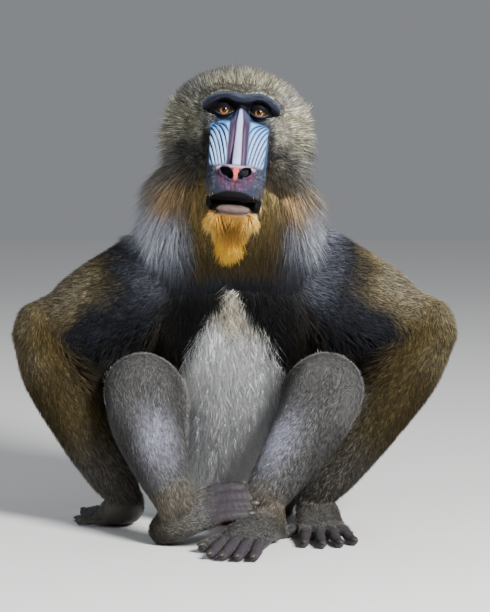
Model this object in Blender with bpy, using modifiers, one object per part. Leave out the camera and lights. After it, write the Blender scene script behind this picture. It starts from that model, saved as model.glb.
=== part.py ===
"""A seated mandrill at life size, as a still model such as a museum shows.

The animal faces -Y and sits on the floor at Z = 0, upright, knees raised and spread,
its feet crossed in front and both hands flat on the floor beside it, elbows out.
Blender works in metres. The tables below are in millimetres and are scaled by MM.
"""

import math
import random

import bmesh
import bpy
import numpy as np
from mathutils import Matrix, Vector

MM = 0.001
GAP = 0.35 * MM  # clearance that neighbouring nodes keep
SEAT = (0, 58, 0)  # the point of the floor under the rump, which the frame's origin moves to
FLOOR_CUT_DEPTH = 0.2  # half the depth of the block that flattens what reaches under the floor
SHARP_ANGLE = math.radians(50)

# Where the joints of the skeleton lie, for the animal's left (+X) and right (-X) side
SHOULDER = {"left": (104, 26, 340), "right": (-100, 26, 338)}
ELBOW = {"left": (258, -34, 266), "right": (-256, -34, 262)}
WRIST = {"left": (108, -66, 50), "right": (-146, -48, 48)}
HIP = {"left": (66, 62, 96), "right": (-66, 62, 96)}
KNEE = {"left": (120, -92, 193), "right": (-120, -88, 192)}
ANKLE = {"left": (36, -176, 58), "right": (-76, -170, 60)}
SIGN = {"left": 1, "right": -1}

# The head hangs from the point midway between the pupils and leans a little to +X
EYE_MIDPOINT = (10, -70, 551)
HEAD_LEAN = math.radians(5)
EYE_SPACING = 45.5
EYE_RADIUS = 11.5
EYE_FORWARD = -11  # from the pupil to the middle of the eyeball

# The colours and finish of each kind of surface
FINISHES = {
    "olive_coat": ((0.20, 0.16, 0.09), 0.9),
    "grey_coat": ((0.22, 0.20, 0.17), 0.9),
    "crown_coat": ((0.42, 0.38, 0.26), 0.9),
    "mantle_coat": ((0.12, 0.12, 0.14), 0.9),
    "beard_coat": ((0.78, 0.52, 0.16), 0.9),
    "hand_skin": ((0.17, 0.14, 0.16), 0.6),
    "pad_skin": ((0.45, 0.25, 0.32), 0.5),
    "eye": ((0.30, 0.12, 0.03), 0.1),
}


def clear_scene():
    for old in list(bpy.data.objects):
        bpy.data.objects.remove(old)


def new_collection(name, helper=False):
    made = bpy.data.collections.new(name)
    bpy.context.scene.collection.children.link(made)
    made.hide_render = helper
    return made


def add_cutter(name, mesh, cutters):
    """A helper that only cuts other objects: it is drawn as wires and isn't rendered."""
    made = add_object(name, mesh, cutters)
    made.display_type = "WIRE"
    made.hide_render = True
    return made


def finish_of(name):
    """The material of that name, made on its first use."""
    found = bpy.data.materials.get(name)
    if found:
        return found
    colour, roughness = FINISHES[name]
    made = bpy.data.materials.new(name)
    made.use_nodes = True
    shader = made.node_tree.nodes["Principled BSDF"]
    shader.inputs["Base Color"].default_value = (*colour, 1)
    shader.inputs["Roughness"].default_value = roughness
    shader.inputs["Metallic"].default_value = 0
    return made


def add_object(name, mesh, collection):
    made = bpy.data.objects.new(name, mesh)
    collection.objects.link(made)
    return made


def smooth_line(points, samples):
    """Points at even steps of a Catmull-Rom curve through the given rows of numbers."""
    rows = np.array(points, float)
    ends = np.vstack([2 * rows[0] - rows[1], rows, 2 * rows[-1] - rows[-2]])
    place = np.linspace(0, len(rows) - 1, samples)
    span = np.minimum(place.astype(int), len(rows) - 2)
    t = (place - span)[:, None]
    a, b, c, d = (ends[span + k] for k in range(4))
    return 0.5 * (2 * b + (c - a) * t + (2 * a - 5 * b + 4 * c - d) * t**2
                  + (3 * b - a - 3 * c + d) * t**3)


def ring_frames(centres, side_hint):
    """For each centre, the two unit vectors across the line there. The first is near side_hint."""
    along = np.gradient(centres, axis=0)
    along /= np.linalg.norm(along, axis=1)[:, None]
    across = np.array(side_hint, float) - along * (along @ np.array(side_hint, float))[:, None]
    across /= np.linalg.norm(across, axis=1)[:, None]
    return across, np.cross(along, across)


def loft_mesh(name, stations, sides, rings, side_hint=(1, 0, 0), cap_rings=1):
    """A closed body whose sections are ellipses, carried through stations.

    A station is (x, y, z, half width along side_hint, half thickness), in millimetres.
    Both ends are rounded over with cap_rings more rings.
    """
    line = smooth_line(stations, rings)
    centres, half_a, half_b = line[:, :3], line[:, 3], line[:, 4]
    across, through = ring_frames(centres, side_hint)
    along = np.cross(across, through)
    angles = np.linspace(0, 2 * np.pi, sides, endpoint=False)
    cap_angles = np.linspace(0, np.pi / 2, cap_rings + 2)[1:-1]
    rows = []

    def add_ring(k, shrink, push):
        reach = min(half_a[k], half_b[k])
        centre = centres[k] + along[k] * push * reach
        rows.append(centre + shrink * (np.outer(np.cos(angles) * half_a[k], across[k])
                                       + np.outer(np.sin(angles) * half_b[k], through[k])))

    for angle in cap_angles:
        add_ring(0, math.sin(angle), -math.cos(angle) * 0.8)
    for k in range(rings):
        add_ring(k, 1, 0)
    for angle in cap_angles[::-1]:
        add_ring(rings - 1, math.sin(angle), math.cos(angle) * 0.8)
    reach = [min(half_a[k], half_b[k]) * 0.8 for k in (0, -1)]
    poles = [centres[0] - along[0] * reach[0], centres[-1] + along[-1] * reach[1]]
    return rings_to_mesh(name, np.array(rows) * MM, np.array(poles) * MM)


def rings_to_mesh(name, rows, poles):
    """A mesh from rows of ring points, closed at each end by a pole."""
    count, sides = rows.shape[:2]
    points = np.vstack([rows.reshape(-1, 3), poles])
    first_pole, last_pole = count * sides, count * sides + 1
    faces = []
    for k in range(sides):
        beside = (k + 1) % sides
        faces.append((first_pole, beside, k))
        top = (count - 1) * sides
        faces.append((last_pole, top + k, top + beside))
        for ring in range(count - 1):
            low, high = ring * sides, (ring + 1) * sides
            faces.append((low + k, low + beside, high + beside, high + k))
    mesh = bpy.data.meshes.new(name)
    mesh.from_pydata(points.tolist(), [], faces)
    shape = bmesh.new()
    shape.from_mesh(mesh)
    bmesh.ops.recalc_face_normals(shape, faces=shape.faces)
    shape.to_mesh(mesh)
    shape.free()
    return mesh


def ellipsoid_mesh(name, centre, half_sizes, segments=20, rings=12):
    """A sphere primitive stretched to the half sizes and moved to the centre, in millimetres."""
    shape = bmesh.new()
    bmesh.ops.create_uvsphere(shape, u_segments=segments, v_segments=rings, radius=1)
    stretch = Matrix.Diagonal((*(Vector(half_sizes) * MM), 1))
    bmesh.ops.transform(shape, matrix=Matrix.Translation(Vector(centre) * MM) @ stretch,
                        verts=shape.verts)
    mesh = bpy.data.meshes.new(name)
    shape.to_mesh(mesh)
    shape.free()
    return mesh


def evaluated_mesh(obj):
    graph = bpy.context.evaluated_depsgraph_get()
    return bpy.data.meshes.new_from_object(obj.evaluated_get(graph))


def apply_modifiers(obj):
    mesh = evaluated_mesh(obj)
    obj.modifiers.clear()
    obj.data = mesh


def keep_largest(obj):
    """Keeps the largest closed surface of the mesh and drops any loose scrap."""
    shape = bmesh.new()
    shape.from_mesh(obj.data)
    unseen, islands = set(shape.verts), []
    while unseen:
        stack, island = [unseen.pop()], []
        while stack:
            vertex = stack.pop()
            island.append(vertex)
            for edge in vertex.link_edges:
                other = edge.other_vert(vertex)
                if other in unseen:
                    unseen.remove(other)
                    stack.append(other)
        islands.append(island)
    islands.sort(key=len)
    for island in islands[:-1]:
        bmesh.ops.delete(shape, geom=island, context="VERTS")
    bmesh.ops.triangulate(shape, faces=shape.faces)
    shape.to_mesh(obj.data)
    shape.free()


def boolean(obj, operation, other=None, collection=None, solver="EXACT"):
    modifier = obj.modifiers.new(operation.lower(), "BOOLEAN")
    modifier.operation = operation
    modifier.solver = solver
    if collection:
        modifier.operand_type = "COLLECTION"
        modifier.collection = collection
    else:
        modifier.object = other
    apply_modifiers(obj)


def swollen_copy(obj, by, collection):
    """A copy of obj whose points are moved out along their normals."""
    copy = add_object(obj.name + "_swollen", obj.data.copy(), collection)
    mesh = copy.data
    count = len(mesh.vertices)
    points = np.empty(count * 3, np.float32)
    normals = np.empty(count * 3, np.float32)
    mesh.vertices.foreach_get("co", points)
    mesh.vertex_normals.foreach_get("vector", normals)
    mesh.vertices.foreach_set("co", points + normals * by)
    mesh.update()
    return copy


def clear_of(obj, others, cutters, by=GAP, solver="EXACT"):
    """Cuts obj back from each of the others so that a gap stays between them."""
    for other in others:
        cutter = swollen_copy(other, by, cutters)
        boolean(obj, "DIFFERENCE", cutter, solver=solver)
        bpy.data.objects.remove(cutter)
    keep_largest(obj)


def clear_of_pieces(obj, pieces, below, by=GAP):
    """Cuts obj back from every one of the closed pieces that reaches below a height in millimetres."""
    near = new_collection("near")
    for piece in pieces:
        if min(vertex.co.z for vertex in piece.vertices) < below * MM:
            plain = add_object("piece", piece, near)
            swollen_copy(plain, by, near)
            bpy.data.objects.remove(plain)
    boolean(obj, "DIFFERENCE", collection=near)
    for piece in list(near.objects):
        bpy.data.objects.remove(piece)
    bpy.data.collections.remove(near)
    keep_largest(obj)


def cut_below_floor(obj, cutters):
    """Flattens what reaches under the floor, which leaves the flats that the part rests on."""
    shape = bmesh.new()
    bmesh.ops.create_cube(shape, size=2)
    bmesh.ops.transform(shape, matrix=Matrix.Translation((0, 0, -FLOOR_CUT_DEPTH))
                        @ Matrix.Diagonal((1, 1, FLOOR_CUT_DEPTH, 1)), verts=shape.verts)
    mesh = bpy.data.meshes.new("floor_cutter")
    shape.to_mesh(mesh)
    shape.free()
    cutter = add_cutter("floor_cutter", mesh, cutters)
    boolean(obj, "DIFFERENCE", cutter)
    bpy.data.objects.remove(cutter)
    keep_largest(obj)


def fuse(name, meshes, finish, body, target=None):
    """One closed object from overlapping closed meshes, by one union on a collection."""
    made = add_object(name, meshes[0].copy(), body)
    if len(meshes) > 1:
        others = new_collection(name + "_pieces")
        for k, mesh in enumerate(meshes[1:]):
            add_object(f"{name}_piece_{k}", mesh, others)
        boolean(made, "UNION", collection=others)
        for piece in list(others.objects):
            bpy.data.objects.remove(piece)
        bpy.data.collections.remove(others)
    keep_largest(made)
    if target:
        thin = made.modifiers.new("thin", "DECIMATE")
        thin.ratio = min(1, target / len(made.data.polygons))
        apply_modifiers(made)
    made.data.materials.clear()
    made.data.materials.append(finish_of(finish))
    return made


def melt(name, meshes, voxel, smoothing, target, finish, body):
    """One smooth body from overlapping closed meshes: a voxel skin over them all, eased, then thinned."""
    made = add_object(name, meshes[0], body)
    joined = bmesh.new()
    for mesh in meshes:
        joined.from_mesh(mesh)
    joined.to_mesh(made.data)
    joined.free()
    remesh = made.modifiers.new("skin", "REMESH")
    remesh.mode = "VOXEL"
    remesh.voxel_size = voxel
    ease = made.modifiers.new("ease", "SMOOTH")
    ease.factor = 0.5
    ease.iterations = smoothing
    apply_modifiers(made)
    thin = made.modifiers.new("thin", "DECIMATE")
    thin.ratio = min(1, target / sum(len(face.vertices) - 2 for face in made.data.polygons))
    apply_modifiers(made)
    keep_largest(made)
    made.data.materials.clear()
    made.data.materials.append(finish_of(finish))
    return made


def limb_stations(start, end, rows, sign):
    """Stations along a limb from rows of share of the way, shift outwards, back and up, and half widths."""
    stations = []
    for share, out, back, up, half_a, half_b in rows:
        place = Vector(start).lerp(Vector(end), share) + Vector((sign * out, back, up))
        stations.append((*place, half_a, half_b))
    return stations


def head_place(across, up, forward):
    """A point of the head, in millimetres from the midpoint of the pupils."""
    lean_cos, lean_sin = math.cos(HEAD_LEAN), math.sin(HEAD_LEAN)
    x, y, z = EYE_MIDPOINT
    return (x + across * lean_cos + up * lean_sin, y - forward,
            z - across * lean_sin + up * lean_cos)


HEAD_ACROSS = (math.cos(HEAD_LEAN), 0, -math.sin(HEAD_LEAN))
HEAD_UP = (math.sin(HEAD_LEAN), 0, math.cos(HEAD_LEAN))


def head_loft(name, stations, sides, rings, hint=HEAD_ACROSS, cap_rings=2):
    """A loft through stations of the head: across, up, forward, half width along the hint, thickness."""
    placed = [(*head_place(*s[:3]), *s[3:]) for s in stations]
    return loft_mesh(name, placed, sides, rings, hint, cap_rings)


def head_ellipsoid(name, centre, half_sizes, segments=18, rings=12):
    """An ellipsoid of the head: centre and half sizes across, up and forward, leaning with the head."""
    across, up, forward = half_sizes
    mesh = ellipsoid_mesh(name, (0, 0, 0), (across, forward, up), segments, rings)
    lean = Matrix.Rotation(HEAD_LEAN, 4, "Y")
    mesh.transform(Matrix.Translation(Vector(head_place(*centre)) * MM) @ lean)
    return mesh


LOCK_SHARES = (-0.12, 0.3, 0.7)  # where the rings of a lock lie along its length
LOCK_WIDTHS = (0.8, 1.0, 0.66)
LOCK_SINK = 12  # how deep a lock's root lies in its core
SIDE_TURN = 20  # the most that a lock turns off the lie, in degrees


def lock_mesh(root, normal, lie, length, lift, width, thickness):
    """A flat tapered lock of hair: lens-shaped rings and a pointed tip, bending off the core."""
    root, normal, lie = Vector(root), Vector(normal).normalized(), Vector(lie).normalized()
    across = lie.cross(normal).normalized()
    rows = []
    for share, wide in zip(LOCK_SHARES, LOCK_WIDTHS):
        rise = -LOCK_SINK if share < 0 else lift * share**1.4
        centre = root + lie * (length * share) + normal * rise
        half_w, half_t = across * (width / 2 * wide), normal * (thickness / 2 * wide)
        rows.append([centre + half_w, centre + half_t, centre - half_w, centre - half_t])
    tip = root + lie * length + normal * lift
    points = [corner * MM for row in rows for corner in row] + [tip * MM]
    faces = [(3, 2, 1, 0)]
    for ring in range(len(rows) - 1):
        for k in range(4):
            beside = (k + 1) % 4
            faces.append((ring * 4 + k, ring * 4 + beside, ring * 4 + 4 + beside, ring * 4 + 4 + k))
    last = (len(rows) - 1) * 4
    faces += [(last + k, last + (k + 1) % 4, len(points) - 1) for k in range(4)]
    mesh = bpy.data.meshes.new("lock")
    mesh.from_pydata([tuple(point) for point in points], [], faces)
    shape = bmesh.new()
    shape.from_mesh(mesh)
    bmesh.ops.recalc_face_normals(shape, faces=shape.faces)
    shape.to_mesh(mesh)
    shape.free()
    return mesh


def spiral_directions(count):
    """Unit directions spread evenly over a sphere."""
    for k in range(count):
        height = 1 - 2 * (k + 0.5) / count
        turn = k * math.pi * (3 - math.sqrt(5))
        level = math.sqrt(1 - height * height)
        yield Vector((level * math.cos(turn), level * math.sin(turn), height))


def turned(lie, normal, degrees):
    return Matrix.Rotation(math.radians(degrees), 3, Vector(normal).normalized()) @ Vector(lie)


# Torso and neck

TORSO_STATIONS = [
    (0, 58, 22, 76, 70), (0, 46, 60, 98, 92), (0, 36, 120, 100, 98), (0, 30, 190, 98, 94),
    (0, 28, 260, 112, 88), (0, 28, 314, 117, 82), (0, 32, 346, 84, 60),
]
NECK_STATIONS = [
    (0, 28, 336, 118, 82), (-3, 22, 380, 118, 84), (-3, 14, 418, 104, 80), (0, 9, 456, 95, 79),
    (3, 5, 486, 80, 74),
]
TAIL_STATIONS = [(0, 118, 66, 21, 21), (0, 148, 78, 18, 18), (0, 170, 104, 14, 14), (0, 178, 130, 8, 8)]
# Rows of height, count, degrees from one lock to the next, length
BELLY_ROWS = ((318, 3, 18, 88), (270, 4, 18, 88), (222, 3, 20, 88), (174, 4, 18, 86))
BELLY_LIFT, BELLY_WIDTH, BELLY_THICKNESS = 12, 31, 10
MANTLE_ROWS = ((442, 9, 96, 18), (396, 10, 98, 16))  # height, count, length, lift
MANTLE_TURNS = (40, 320)  # where the cape starts and ends, in degrees round from the front
MANTLE_OUT = (0.16, 0.44)  # how far it stands off at front and back, and how much more at the sides
MANTLE_WIDTH, MANTLE_THICKNESS = 60, 14
TORSO_TOP, NECK_TOP = 430, 520  # no piece of the head that starts higher reaches the torso or the neck
PAD_PLACE, PAD_HALF = (40, 74, 6), (25, 32, 15)


def core_point(stations, height, turn):
    """The point and outward normal on a trunk's core at a height, turn degrees round from the front."""
    line = smooth_line(stations, 60)
    k = int(np.argmin(np.abs(line[:, 2] - height)))
    x, y, z, half_a, half_b = line[k]
    angle = math.radians(turn)
    point = Vector((x + half_a * math.sin(angle), y - half_b * math.cos(angle), height))
    normal = Vector((math.sin(angle) / half_a, -math.cos(angle) / half_b, 0)).normalized()
    return point, normal


def belly_locks():
    """Long hair down the middle of the chest and belly, row upon row like tiles."""
    draw = random.Random(11)
    locks = []
    for height, count, step, length in BELLY_ROWS:
        for k in range(count):
            turn = (k - (count - 1) / 2) * step + draw.uniform(-2, 2)
            point, normal = core_point(TORSO_STATIONS, height + draw.uniform(-5, 5), turn)
            lie = turned((0, -0.06, -1), normal, draw.uniform(-7, 7))
            locks.append(lock_mesh(point, normal, lie, length * draw.uniform(0.9, 1.1),
                                   BELLY_LIFT, BELLY_WIDTH, BELLY_THICKNESS))
    return locks


def mantle_locks():
    """The cape of long hair round the neck, falling over the shoulders and the top of the back."""
    draw = random.Random(23)
    locks = []
    for height, count, length, lift in MANTLE_ROWS:
        for k in range(count):
            first, last = MANTLE_TURNS
            turn = first + (last - first) * (k + 0.5) / count + draw.uniform(-3, 3)
            point, normal = core_point(NECK_STATIONS, height + draw.uniform(-5, 5), turn)
            out = MANTLE_OUT[0] + MANTLE_OUT[1] * math.sin(math.radians(turn)) ** 2
            lie = Vector((0, 0, -1)) + normal * out
            lie = turned(lie, normal, draw.uniform(-SIDE_TURN, SIDE_TURN) / 3)
            long = length * draw.uniform(0.9, 1.1)
            locks.append(lock_mesh(point, normal, lie, long, lift, MANTLE_WIDTH, MANTLE_THICKNESS))
    return locks


def build_torso(body):
    core = loft_mesh("torso", TORSO_STATIONS, 18, 9, cap_rings=2)
    return fuse("torso", [core] + belly_locks(), "olive_coat", body), core


def build_neck(body):
    core = loft_mesh("neck", NECK_STATIONS, 16, 6, cap_rings=1)
    return fuse("neck", [core] + mantle_locks(), "mantle_coat", body), core


def build_sitting_pad(side, body, cutters):
    """The bare pad of hard skin under each hip bone, which carries the animal."""
    x, y, z = PAD_PLACE
    mesh = ellipsoid_mesh("pad", (SIGN[side] * x, y, z), PAD_HALF, 12, 6)
    pad = fuse(f"sitting_pad_{side}", [mesh], "pad_skin", body)
    cut_below_floor(pad, cutters)
    return pad


def build_tail(body):
    return fuse("tail", [loft_mesh("tail", TAIL_STATIONS, 8, 5, cap_rings=1)], "grey_coat", body)


# Arms and hands


# Rows of share of the way, shift outwards, back and up, half width from front to back, half height
UPPER_ARM_ROWS = ((0, 0, 0, -16, 66, 76), (0.38, 0, 0, -20, 60, 75), (0.72, 0, 0, -17, 52, 64),
                  (1, 0, 0, 0, 44, 44))
FOREARM_ROWS = ((0, 0, 0, 0, 42, 40), (0.25, 4, 0, 0, 47, 51), (0.58, 8, 0, 0, 42, 42),
                (0.85, 3, 0, 0, 35, 36), (1, 0, 0, 0, 29, 28))


def build_upper_arm(side, body):
    stations = limb_stations(SHOULDER[side], ELBOW[side], UPPER_ARM_ROWS, SIGN[side])
    mesh = loft_mesh("upper_arm", stations, 12, 6, (0, 1, 0))
    return fuse(f"upper_arm_{side}", [mesh], "olive_coat", body)


def build_forearm(side, body):
    stations = limb_stations(ELBOW[side], WRIST[side], FOREARM_ROWS, SIGN[side])
    mesh = loft_mesh("forearm", stations, 12, 7, (0, 1, 0))
    return fuse(f"forearm_{side}", [mesh], "olive_coat", body)


HAND_HEADING = {"left": -83, "right": 103}  # the way the middle finger points, in degrees from +X
FINGER_LENGTHS = (58, 68, 64, 50)
FINGER_GAP = 15.5  # from one knuckle to the next
FINGER_SPREAD = 6
FINGER_RADIUS = 8.2
THUMB_LENGTH = 38
HAND_SOLE = [(10, 0, 26, 29, 20), (34, 0, 14.5, 32, 15.5), (58, 0, 10, 32, 12)]
HAND_TARGET = 430  # how many faces a hand keeps
TOE_LENGTHS = (38, 44, 42, 36)
TOE_GAP = 15.5
TOE_RADIUS = 8.8
BIG_TOE_LENGTH = 50
FOOT_TARGET = 440  # how many faces a foot keeps
LEFT_SOLE = [(-30, 0, 17, 20, 18), (-4, 0, 30, 27, 27), (24, 0, 32, 32, 22), (52, 0, 22, 34, 18),
             (70, 0, 16, 33, 13)]
LEFT_INSTEP = [(-6, 0, 66, 27, 26), (6, 0, 38, 26, 26)]
RIGHT_HEEL = (-88, -156, 18)
RIGHT_AHEAD, RIGHT_UP = (0.78, -0.42, 0.46), (-0.25, -0.72, 0.62)
RIGHT_SOLE = [(-4, 0, 0, 21, 20), (18, 0, 3, 27, 26), (44, 0, 4, 30, 21), (66, 0, 2, 31, 16),
              (80, 0, 0, 30, 12)]
RIGHT_INSTEP = [(-78, -168, 72, 29, 29), (-70, -176, 50, 28, 27)]


class Paw:
    """The frame of a hand or foot: ahead to the fingertips, beside to the inner edge, up out of the back."""

    def __init__(self, origin, ahead, up, inner):
        self.origin = Vector(origin)
        self.ahead = Vector(ahead).normalized()
        self.up = (Vector(up) - self.ahead * Vector(up).dot(self.ahead)).normalized()
        self.beside = self.up.cross(self.ahead) * inner

    def at(self, forward, inward, height):
        return tuple(self.origin + self.ahead * forward + self.beside * inward + self.up * height)

    def sole(self, rows, sides=12, rings=7):
        """A loft through rows of (forward, inward, height, half width, half thickness)."""
        stations = [(*self.at(*row[:3]), *row[3:]) for row in rows]
        return loft_mesh("sole", stations, sides, rings, self.beside, cap_rings=1)

    def digit(self, start, inward, length, splay, radius, heights):
        """A finger or toe from its knuckle at start, splayed inward by degrees, over the heights."""
        turn = math.radians(splay)
        rows = []
        for share, height in zip((-0.15, 0.25, 0.62, 1.0), heights):
            forward = start + length * share * math.cos(turn)
            sideways = inward + length * share * math.sin(turn)
            size = radius * (1.08 - 0.2 * max(share, 0))
            rows.append((*self.at(forward, sideways, height), size, size * 0.95))
        return loft_mesh("digit", rows, 7, 6, self.beside, cap_rings=1)


def hand_paw(side):
    heading = math.radians(HAND_HEADING[side])
    wrist = WRIST[side]
    return Paw((wrist[0], wrist[1], 0), (math.cos(heading), math.sin(heading), 0), (0, 0, 1),
               -1 if side == "left" else 1)


def build_hand(side, body, cutters):
    """A hand laid flat, palm down: its fingers rest on the floor along their length."""
    paw = hand_paw(side)
    pieces = [paw.sole([(-2, 0, WRIST[side][2] - 6, 24, 23)] + HAND_SOLE)]
    low = FINGER_RADIUS - 2.2
    for k, length in enumerate(FINGER_LENGTHS):
        inward = (1.5 - k) * FINGER_GAP
        pieces.append(paw.digit(60, inward, length, (1.5 - k) * FINGER_SPREAD, FINGER_RADIUS,
                                (12, 13, low + 3, low)))
    pieces.append(paw.digit(22, 24, THUMB_LENGTH, 46, FINGER_RADIUS, (11, 10, low + 2, low)))
    hand = fuse(f"hand_{side}", pieces, "hand_skin", body, HAND_TARGET)
    cut_below_floor(hand, cutters)
    return hand


# Legs and feet


# Rows of share of the way, shift outwards, back and up, half width across, half width through
THIGH_ROWS = ((0, 0, 0, 0, 62, 78), (0.4, 12, 0, 4, 62, 70), (0.75, 6, 0, 4, 58, 60), (1, 0, 0, 0, 53, 52))
LOWER_LEG_ROWS = ((0, 0, 0, 0, 53, 52), (0.3, 6, 8, 0, 51, 52), (0.62, 4.8, 6.4, 0, 43, 45),
                  (1, 0, 0, 0, 30, 32))


def build_thigh(side, body):
    stations = limb_stations(HIP[side], KNEE[side], THIGH_ROWS, SIGN[side])
    return fuse(f"thigh_{side}", [loft_mesh("thigh", stations, 14, 6)], "grey_coat", body)


def build_lower_leg(side, body):
    stations = limb_stations(KNEE[side], ANKLE[side], LOWER_LEG_ROWS, SIGN[side])
    return fuse(f"lower_leg_{side}", [loft_mesh("lower_leg", stations, 12, 7)], "grey_coat", body)


def build_left_foot(body, cutters):
    """The foot in front: heel and sole on the floor, toes curled down, seen end on."""
    paw = Paw((ANKLE["left"][0] + 2, ANKLE["left"][1], 0), (-0.36, -0.93, 0), (0, 0, 1), -1)
    pieces = [paw.sole(LEFT_SOLE), paw.sole(LEFT_INSTEP, 12, 3)]
    for k, length in enumerate(TOE_LENGTHS):
        pieces.append(paw.digit(72, (1.5 - k) * TOE_GAP, length, (1.5 - k) * 4, TOE_RADIUS,
                                (16, 17, 11, TOE_RADIUS - 2.4)))
    pieces.append(paw.digit(30, 24, BIG_TOE_LENGTH, 38, TOE_RADIUS * 1.1, (18, 16, 11, TOE_RADIUS - 1.6)))
    foot = fuse("foot_left", pieces, "hand_skin", body, FOOT_TARGET)
    cut_below_floor(foot, cutters)
    return foot


def build_right_foot(body, cutters):
    """The foot behind: its heel stands on the floor and its toes curl over the other ankle."""
    paw = Paw(RIGHT_HEEL, RIGHT_AHEAD, RIGHT_UP, 1)
    pieces = [paw.sole(RIGHT_SOLE), loft_mesh("instep", RIGHT_INSTEP, 12, 3, cap_rings=1)]
    for k, length in enumerate(TOE_LENGTHS):
        pieces.append(paw.digit(78, (1.5 - k) * TOE_GAP * 0.95, length + 4, (k - 1.5) * 3, TOE_RADIUS,
                                (0, 0, -10, -27)))
    pieces.append(paw.digit(36, 22, BIG_TOE_LENGTH, 14, TOE_RADIUS * 1.1, (-4, -8, -16, -26)))
    foot = fuse("foot_right", pieces, "hand_skin", body, FOOT_TARGET)
    cut_below_floor(foot, cutters)
    return foot


# Head


# Places and half sizes are across, up and forward, from the midpoint of the pupils
CRANIUM_CENTRE = Vector((-3, -27, -84))
CRANIUM_HALF = Vector((85, 68, 76))
MUZZLE_STATIONS = [(0, -46, -18, 42, 52), (0, -63, 14, 39, 44), (0, -82, 42, 37, 35), (0, -94, 61, 35, 27)]
BRIDGE_STATIONS = [(0, 2, 0, 8, 8), (0, -20, 20, 7.5, 7), (0, -44, 46, 8.5, 8), (0, -68, 72, 11, 9)]
BROW_STATIONS = [(-46, 2, -12, 8, 7), (-26, 12, 0, 8, 8), (0, 14, 4, 8, 8), (26, 12, 0, 8, 8),
                 (46, 2, -12, 8, 7)]
SWELLING_STATIONS = [(21, -24, 5, 9, 8), (25, -40, 22, 11, 10), (26, -60, 47, 10, 10), (24, -76, 62, 8, 8)]
JAW_STATIONS = [(0, -114, -30, 38, 22), (0, -125, 4, 32, 20), (0, -131, 38, 27, 15), (0, -132, 55, 19, 9)]
CHIN_STATIONS = [(0, -130, 20, 30, 26), (0, -148, 28, 24, 20), (0, -164, 34, 15, 13)]
MASK, MASK_HALF = (0, -12, -28), (50, 30, 31)
GLABELLA, GLABELLA_HALF = (0, 9, -11), (46, 9, 13)
NOSE, NOSE_HALF = (0, -79, 76), (22, 12, 13)
LIP, LIP_HALF = (0, -102, 65), (36, 16, 19)
CHEEK, CHEEK_HALF = (38, -36, -30), (24, 32, 32)
JOWL, JOWL_HALF = (40, -72, -50), (36, 40, 46)
SOCKET_HALF = (12.5, 7.5, 9)
SOCKET_FORWARD = 5
NOSTRIL, NOSTRIL_HALF = (10.3, -76, 87), (6, 4.2, 9)
EAR, EAR_HALF = (82, -15, -78), (9, 20, 15)  # across is from the middle of the cranium
EAR_CUP, EAR_CUP_HALF = (93, -14, -75), (8, 14, 10)
HEAD_TARGET = 860  # how many faces the smooth core of the head keeps
RUFF_COUNT = 58
JOWL_ROOTS = (  # of each side: across, up, forward, and how far the lie turns outwards
    (72, -56, -38, 0.72), (72, -62, -76, 0.72), (60, -80, -20, 0.62), (66, -88, -54, 0.72),
    (62, -90, -88, 0.70), (44, -98, -4, 0.30), (52, -106, -34, 0.42), (50, -108, -66, 0.45),
)


def head_vector(across, up, forward):
    """A direction of the head, turned into the frame of the whole animal."""
    return Vector(head_place(across, up, forward)) - Vector(head_place(0, 0, 0))


def ruff_locks():
    """The crown and the ruff: hair that leaves the face's rim on all sides and sweeps back."""
    draw = random.Random(5)
    locks = []
    for direction in spiral_directions(RUFF_COUNT):
        u, w, d = (CRANIUM_CENTRE[k] + CRANIUM_HALF[k] * direction[k] for k in range(3))
        on_face = d > -62 and abs(u) < 52 and w < 20
        if on_face or w < -66:
            continue
        normal = Vector([direction[k] / CRANIUM_HALF[k] for k in range(3)]).normalized()
        away = Vector((u, w + 34, d - 34))
        away = (away - normal * away.dot(normal)).normalized()
        away = (away + Vector((0, -0.3 if w < 10 else 0, -0.1))).normalized()
        lie = turned(away, normal, draw.uniform(-SIDE_TURN, SIDE_TURN) / 2)
        locks.append(lock_mesh(head_place(u, w, d), head_vector(*normal), head_vector(*lie),
                               draw.uniform(54, 64), draw.uniform(7, 11), draw.uniform(40, 46), 11))
    return locks


def jowl_locks():
    """The lower ruff: longer hair that hangs from the cheeks and the corners of the jaw."""
    draw = random.Random(8)
    locks = []
    for sign in (-1, 1):
        for u, w, d, out in JOWL_ROOTS:
            lie = turned(Vector((sign * out, -1, -0.3)), (0, 0, 1), draw.uniform(-6, 6))
            normal = Vector((sign, 0.15, 0.3))
            locks.append(lock_mesh(head_place(sign * u, w, d), head_vector(*normal), head_vector(*lie),
                                   draw.uniform(60, 68), 6, 38, 11))
    return locks


def lid_meshes():
    """The upper and lower lid of each eye, as thin arcs over the eyeball."""
    lids = []
    for sign in (-1, 1):
        for rise, radius in ((6.2, 3.2), (-6.4, 2.4)):
            rows = []
            for share in (-1, -0.55, 0, 0.55, 1):
                across = sign * EYE_SPACING / 2 + 11.5 * share
                height = rise * (1 - share * share) - 0.5 * share * sign
                rows.append((across, height, -0.5 - 7 * share * share, radius, radius))
            lids.append(head_loft("lid", rows, 5, 5, HEAD_UP, cap_rings=1))
    return lids


def ridge_meshes():
    """The long ridges on the swelling at each side of the nose."""
    ridges = []
    for sign in (-1, 1):
        for k in range(3):
            outer = k / 2
            rows = []
            for share in (0, 0.3, 0.65, 1):
                across = 16 + 19 * outer * (1 - 0.25 * share) + 3 * math.sin(math.pi * share)
                height = -19 - 10 * outer - (51 - 12 * outer) * share
                forward = 19 - 13 * outer + (52 - 4 * outer) * share
                rows.append((sign * across, height, forward, 3.6, 3.2))
            ridges.append(head_loft("ridge", rows, 5, 5, cap_rings=1))
    return ridges


def mirrored(row, sign):
    """The row with its first number, across, on the side of the sign."""
    return (sign * row[0], *row[1:])


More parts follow.
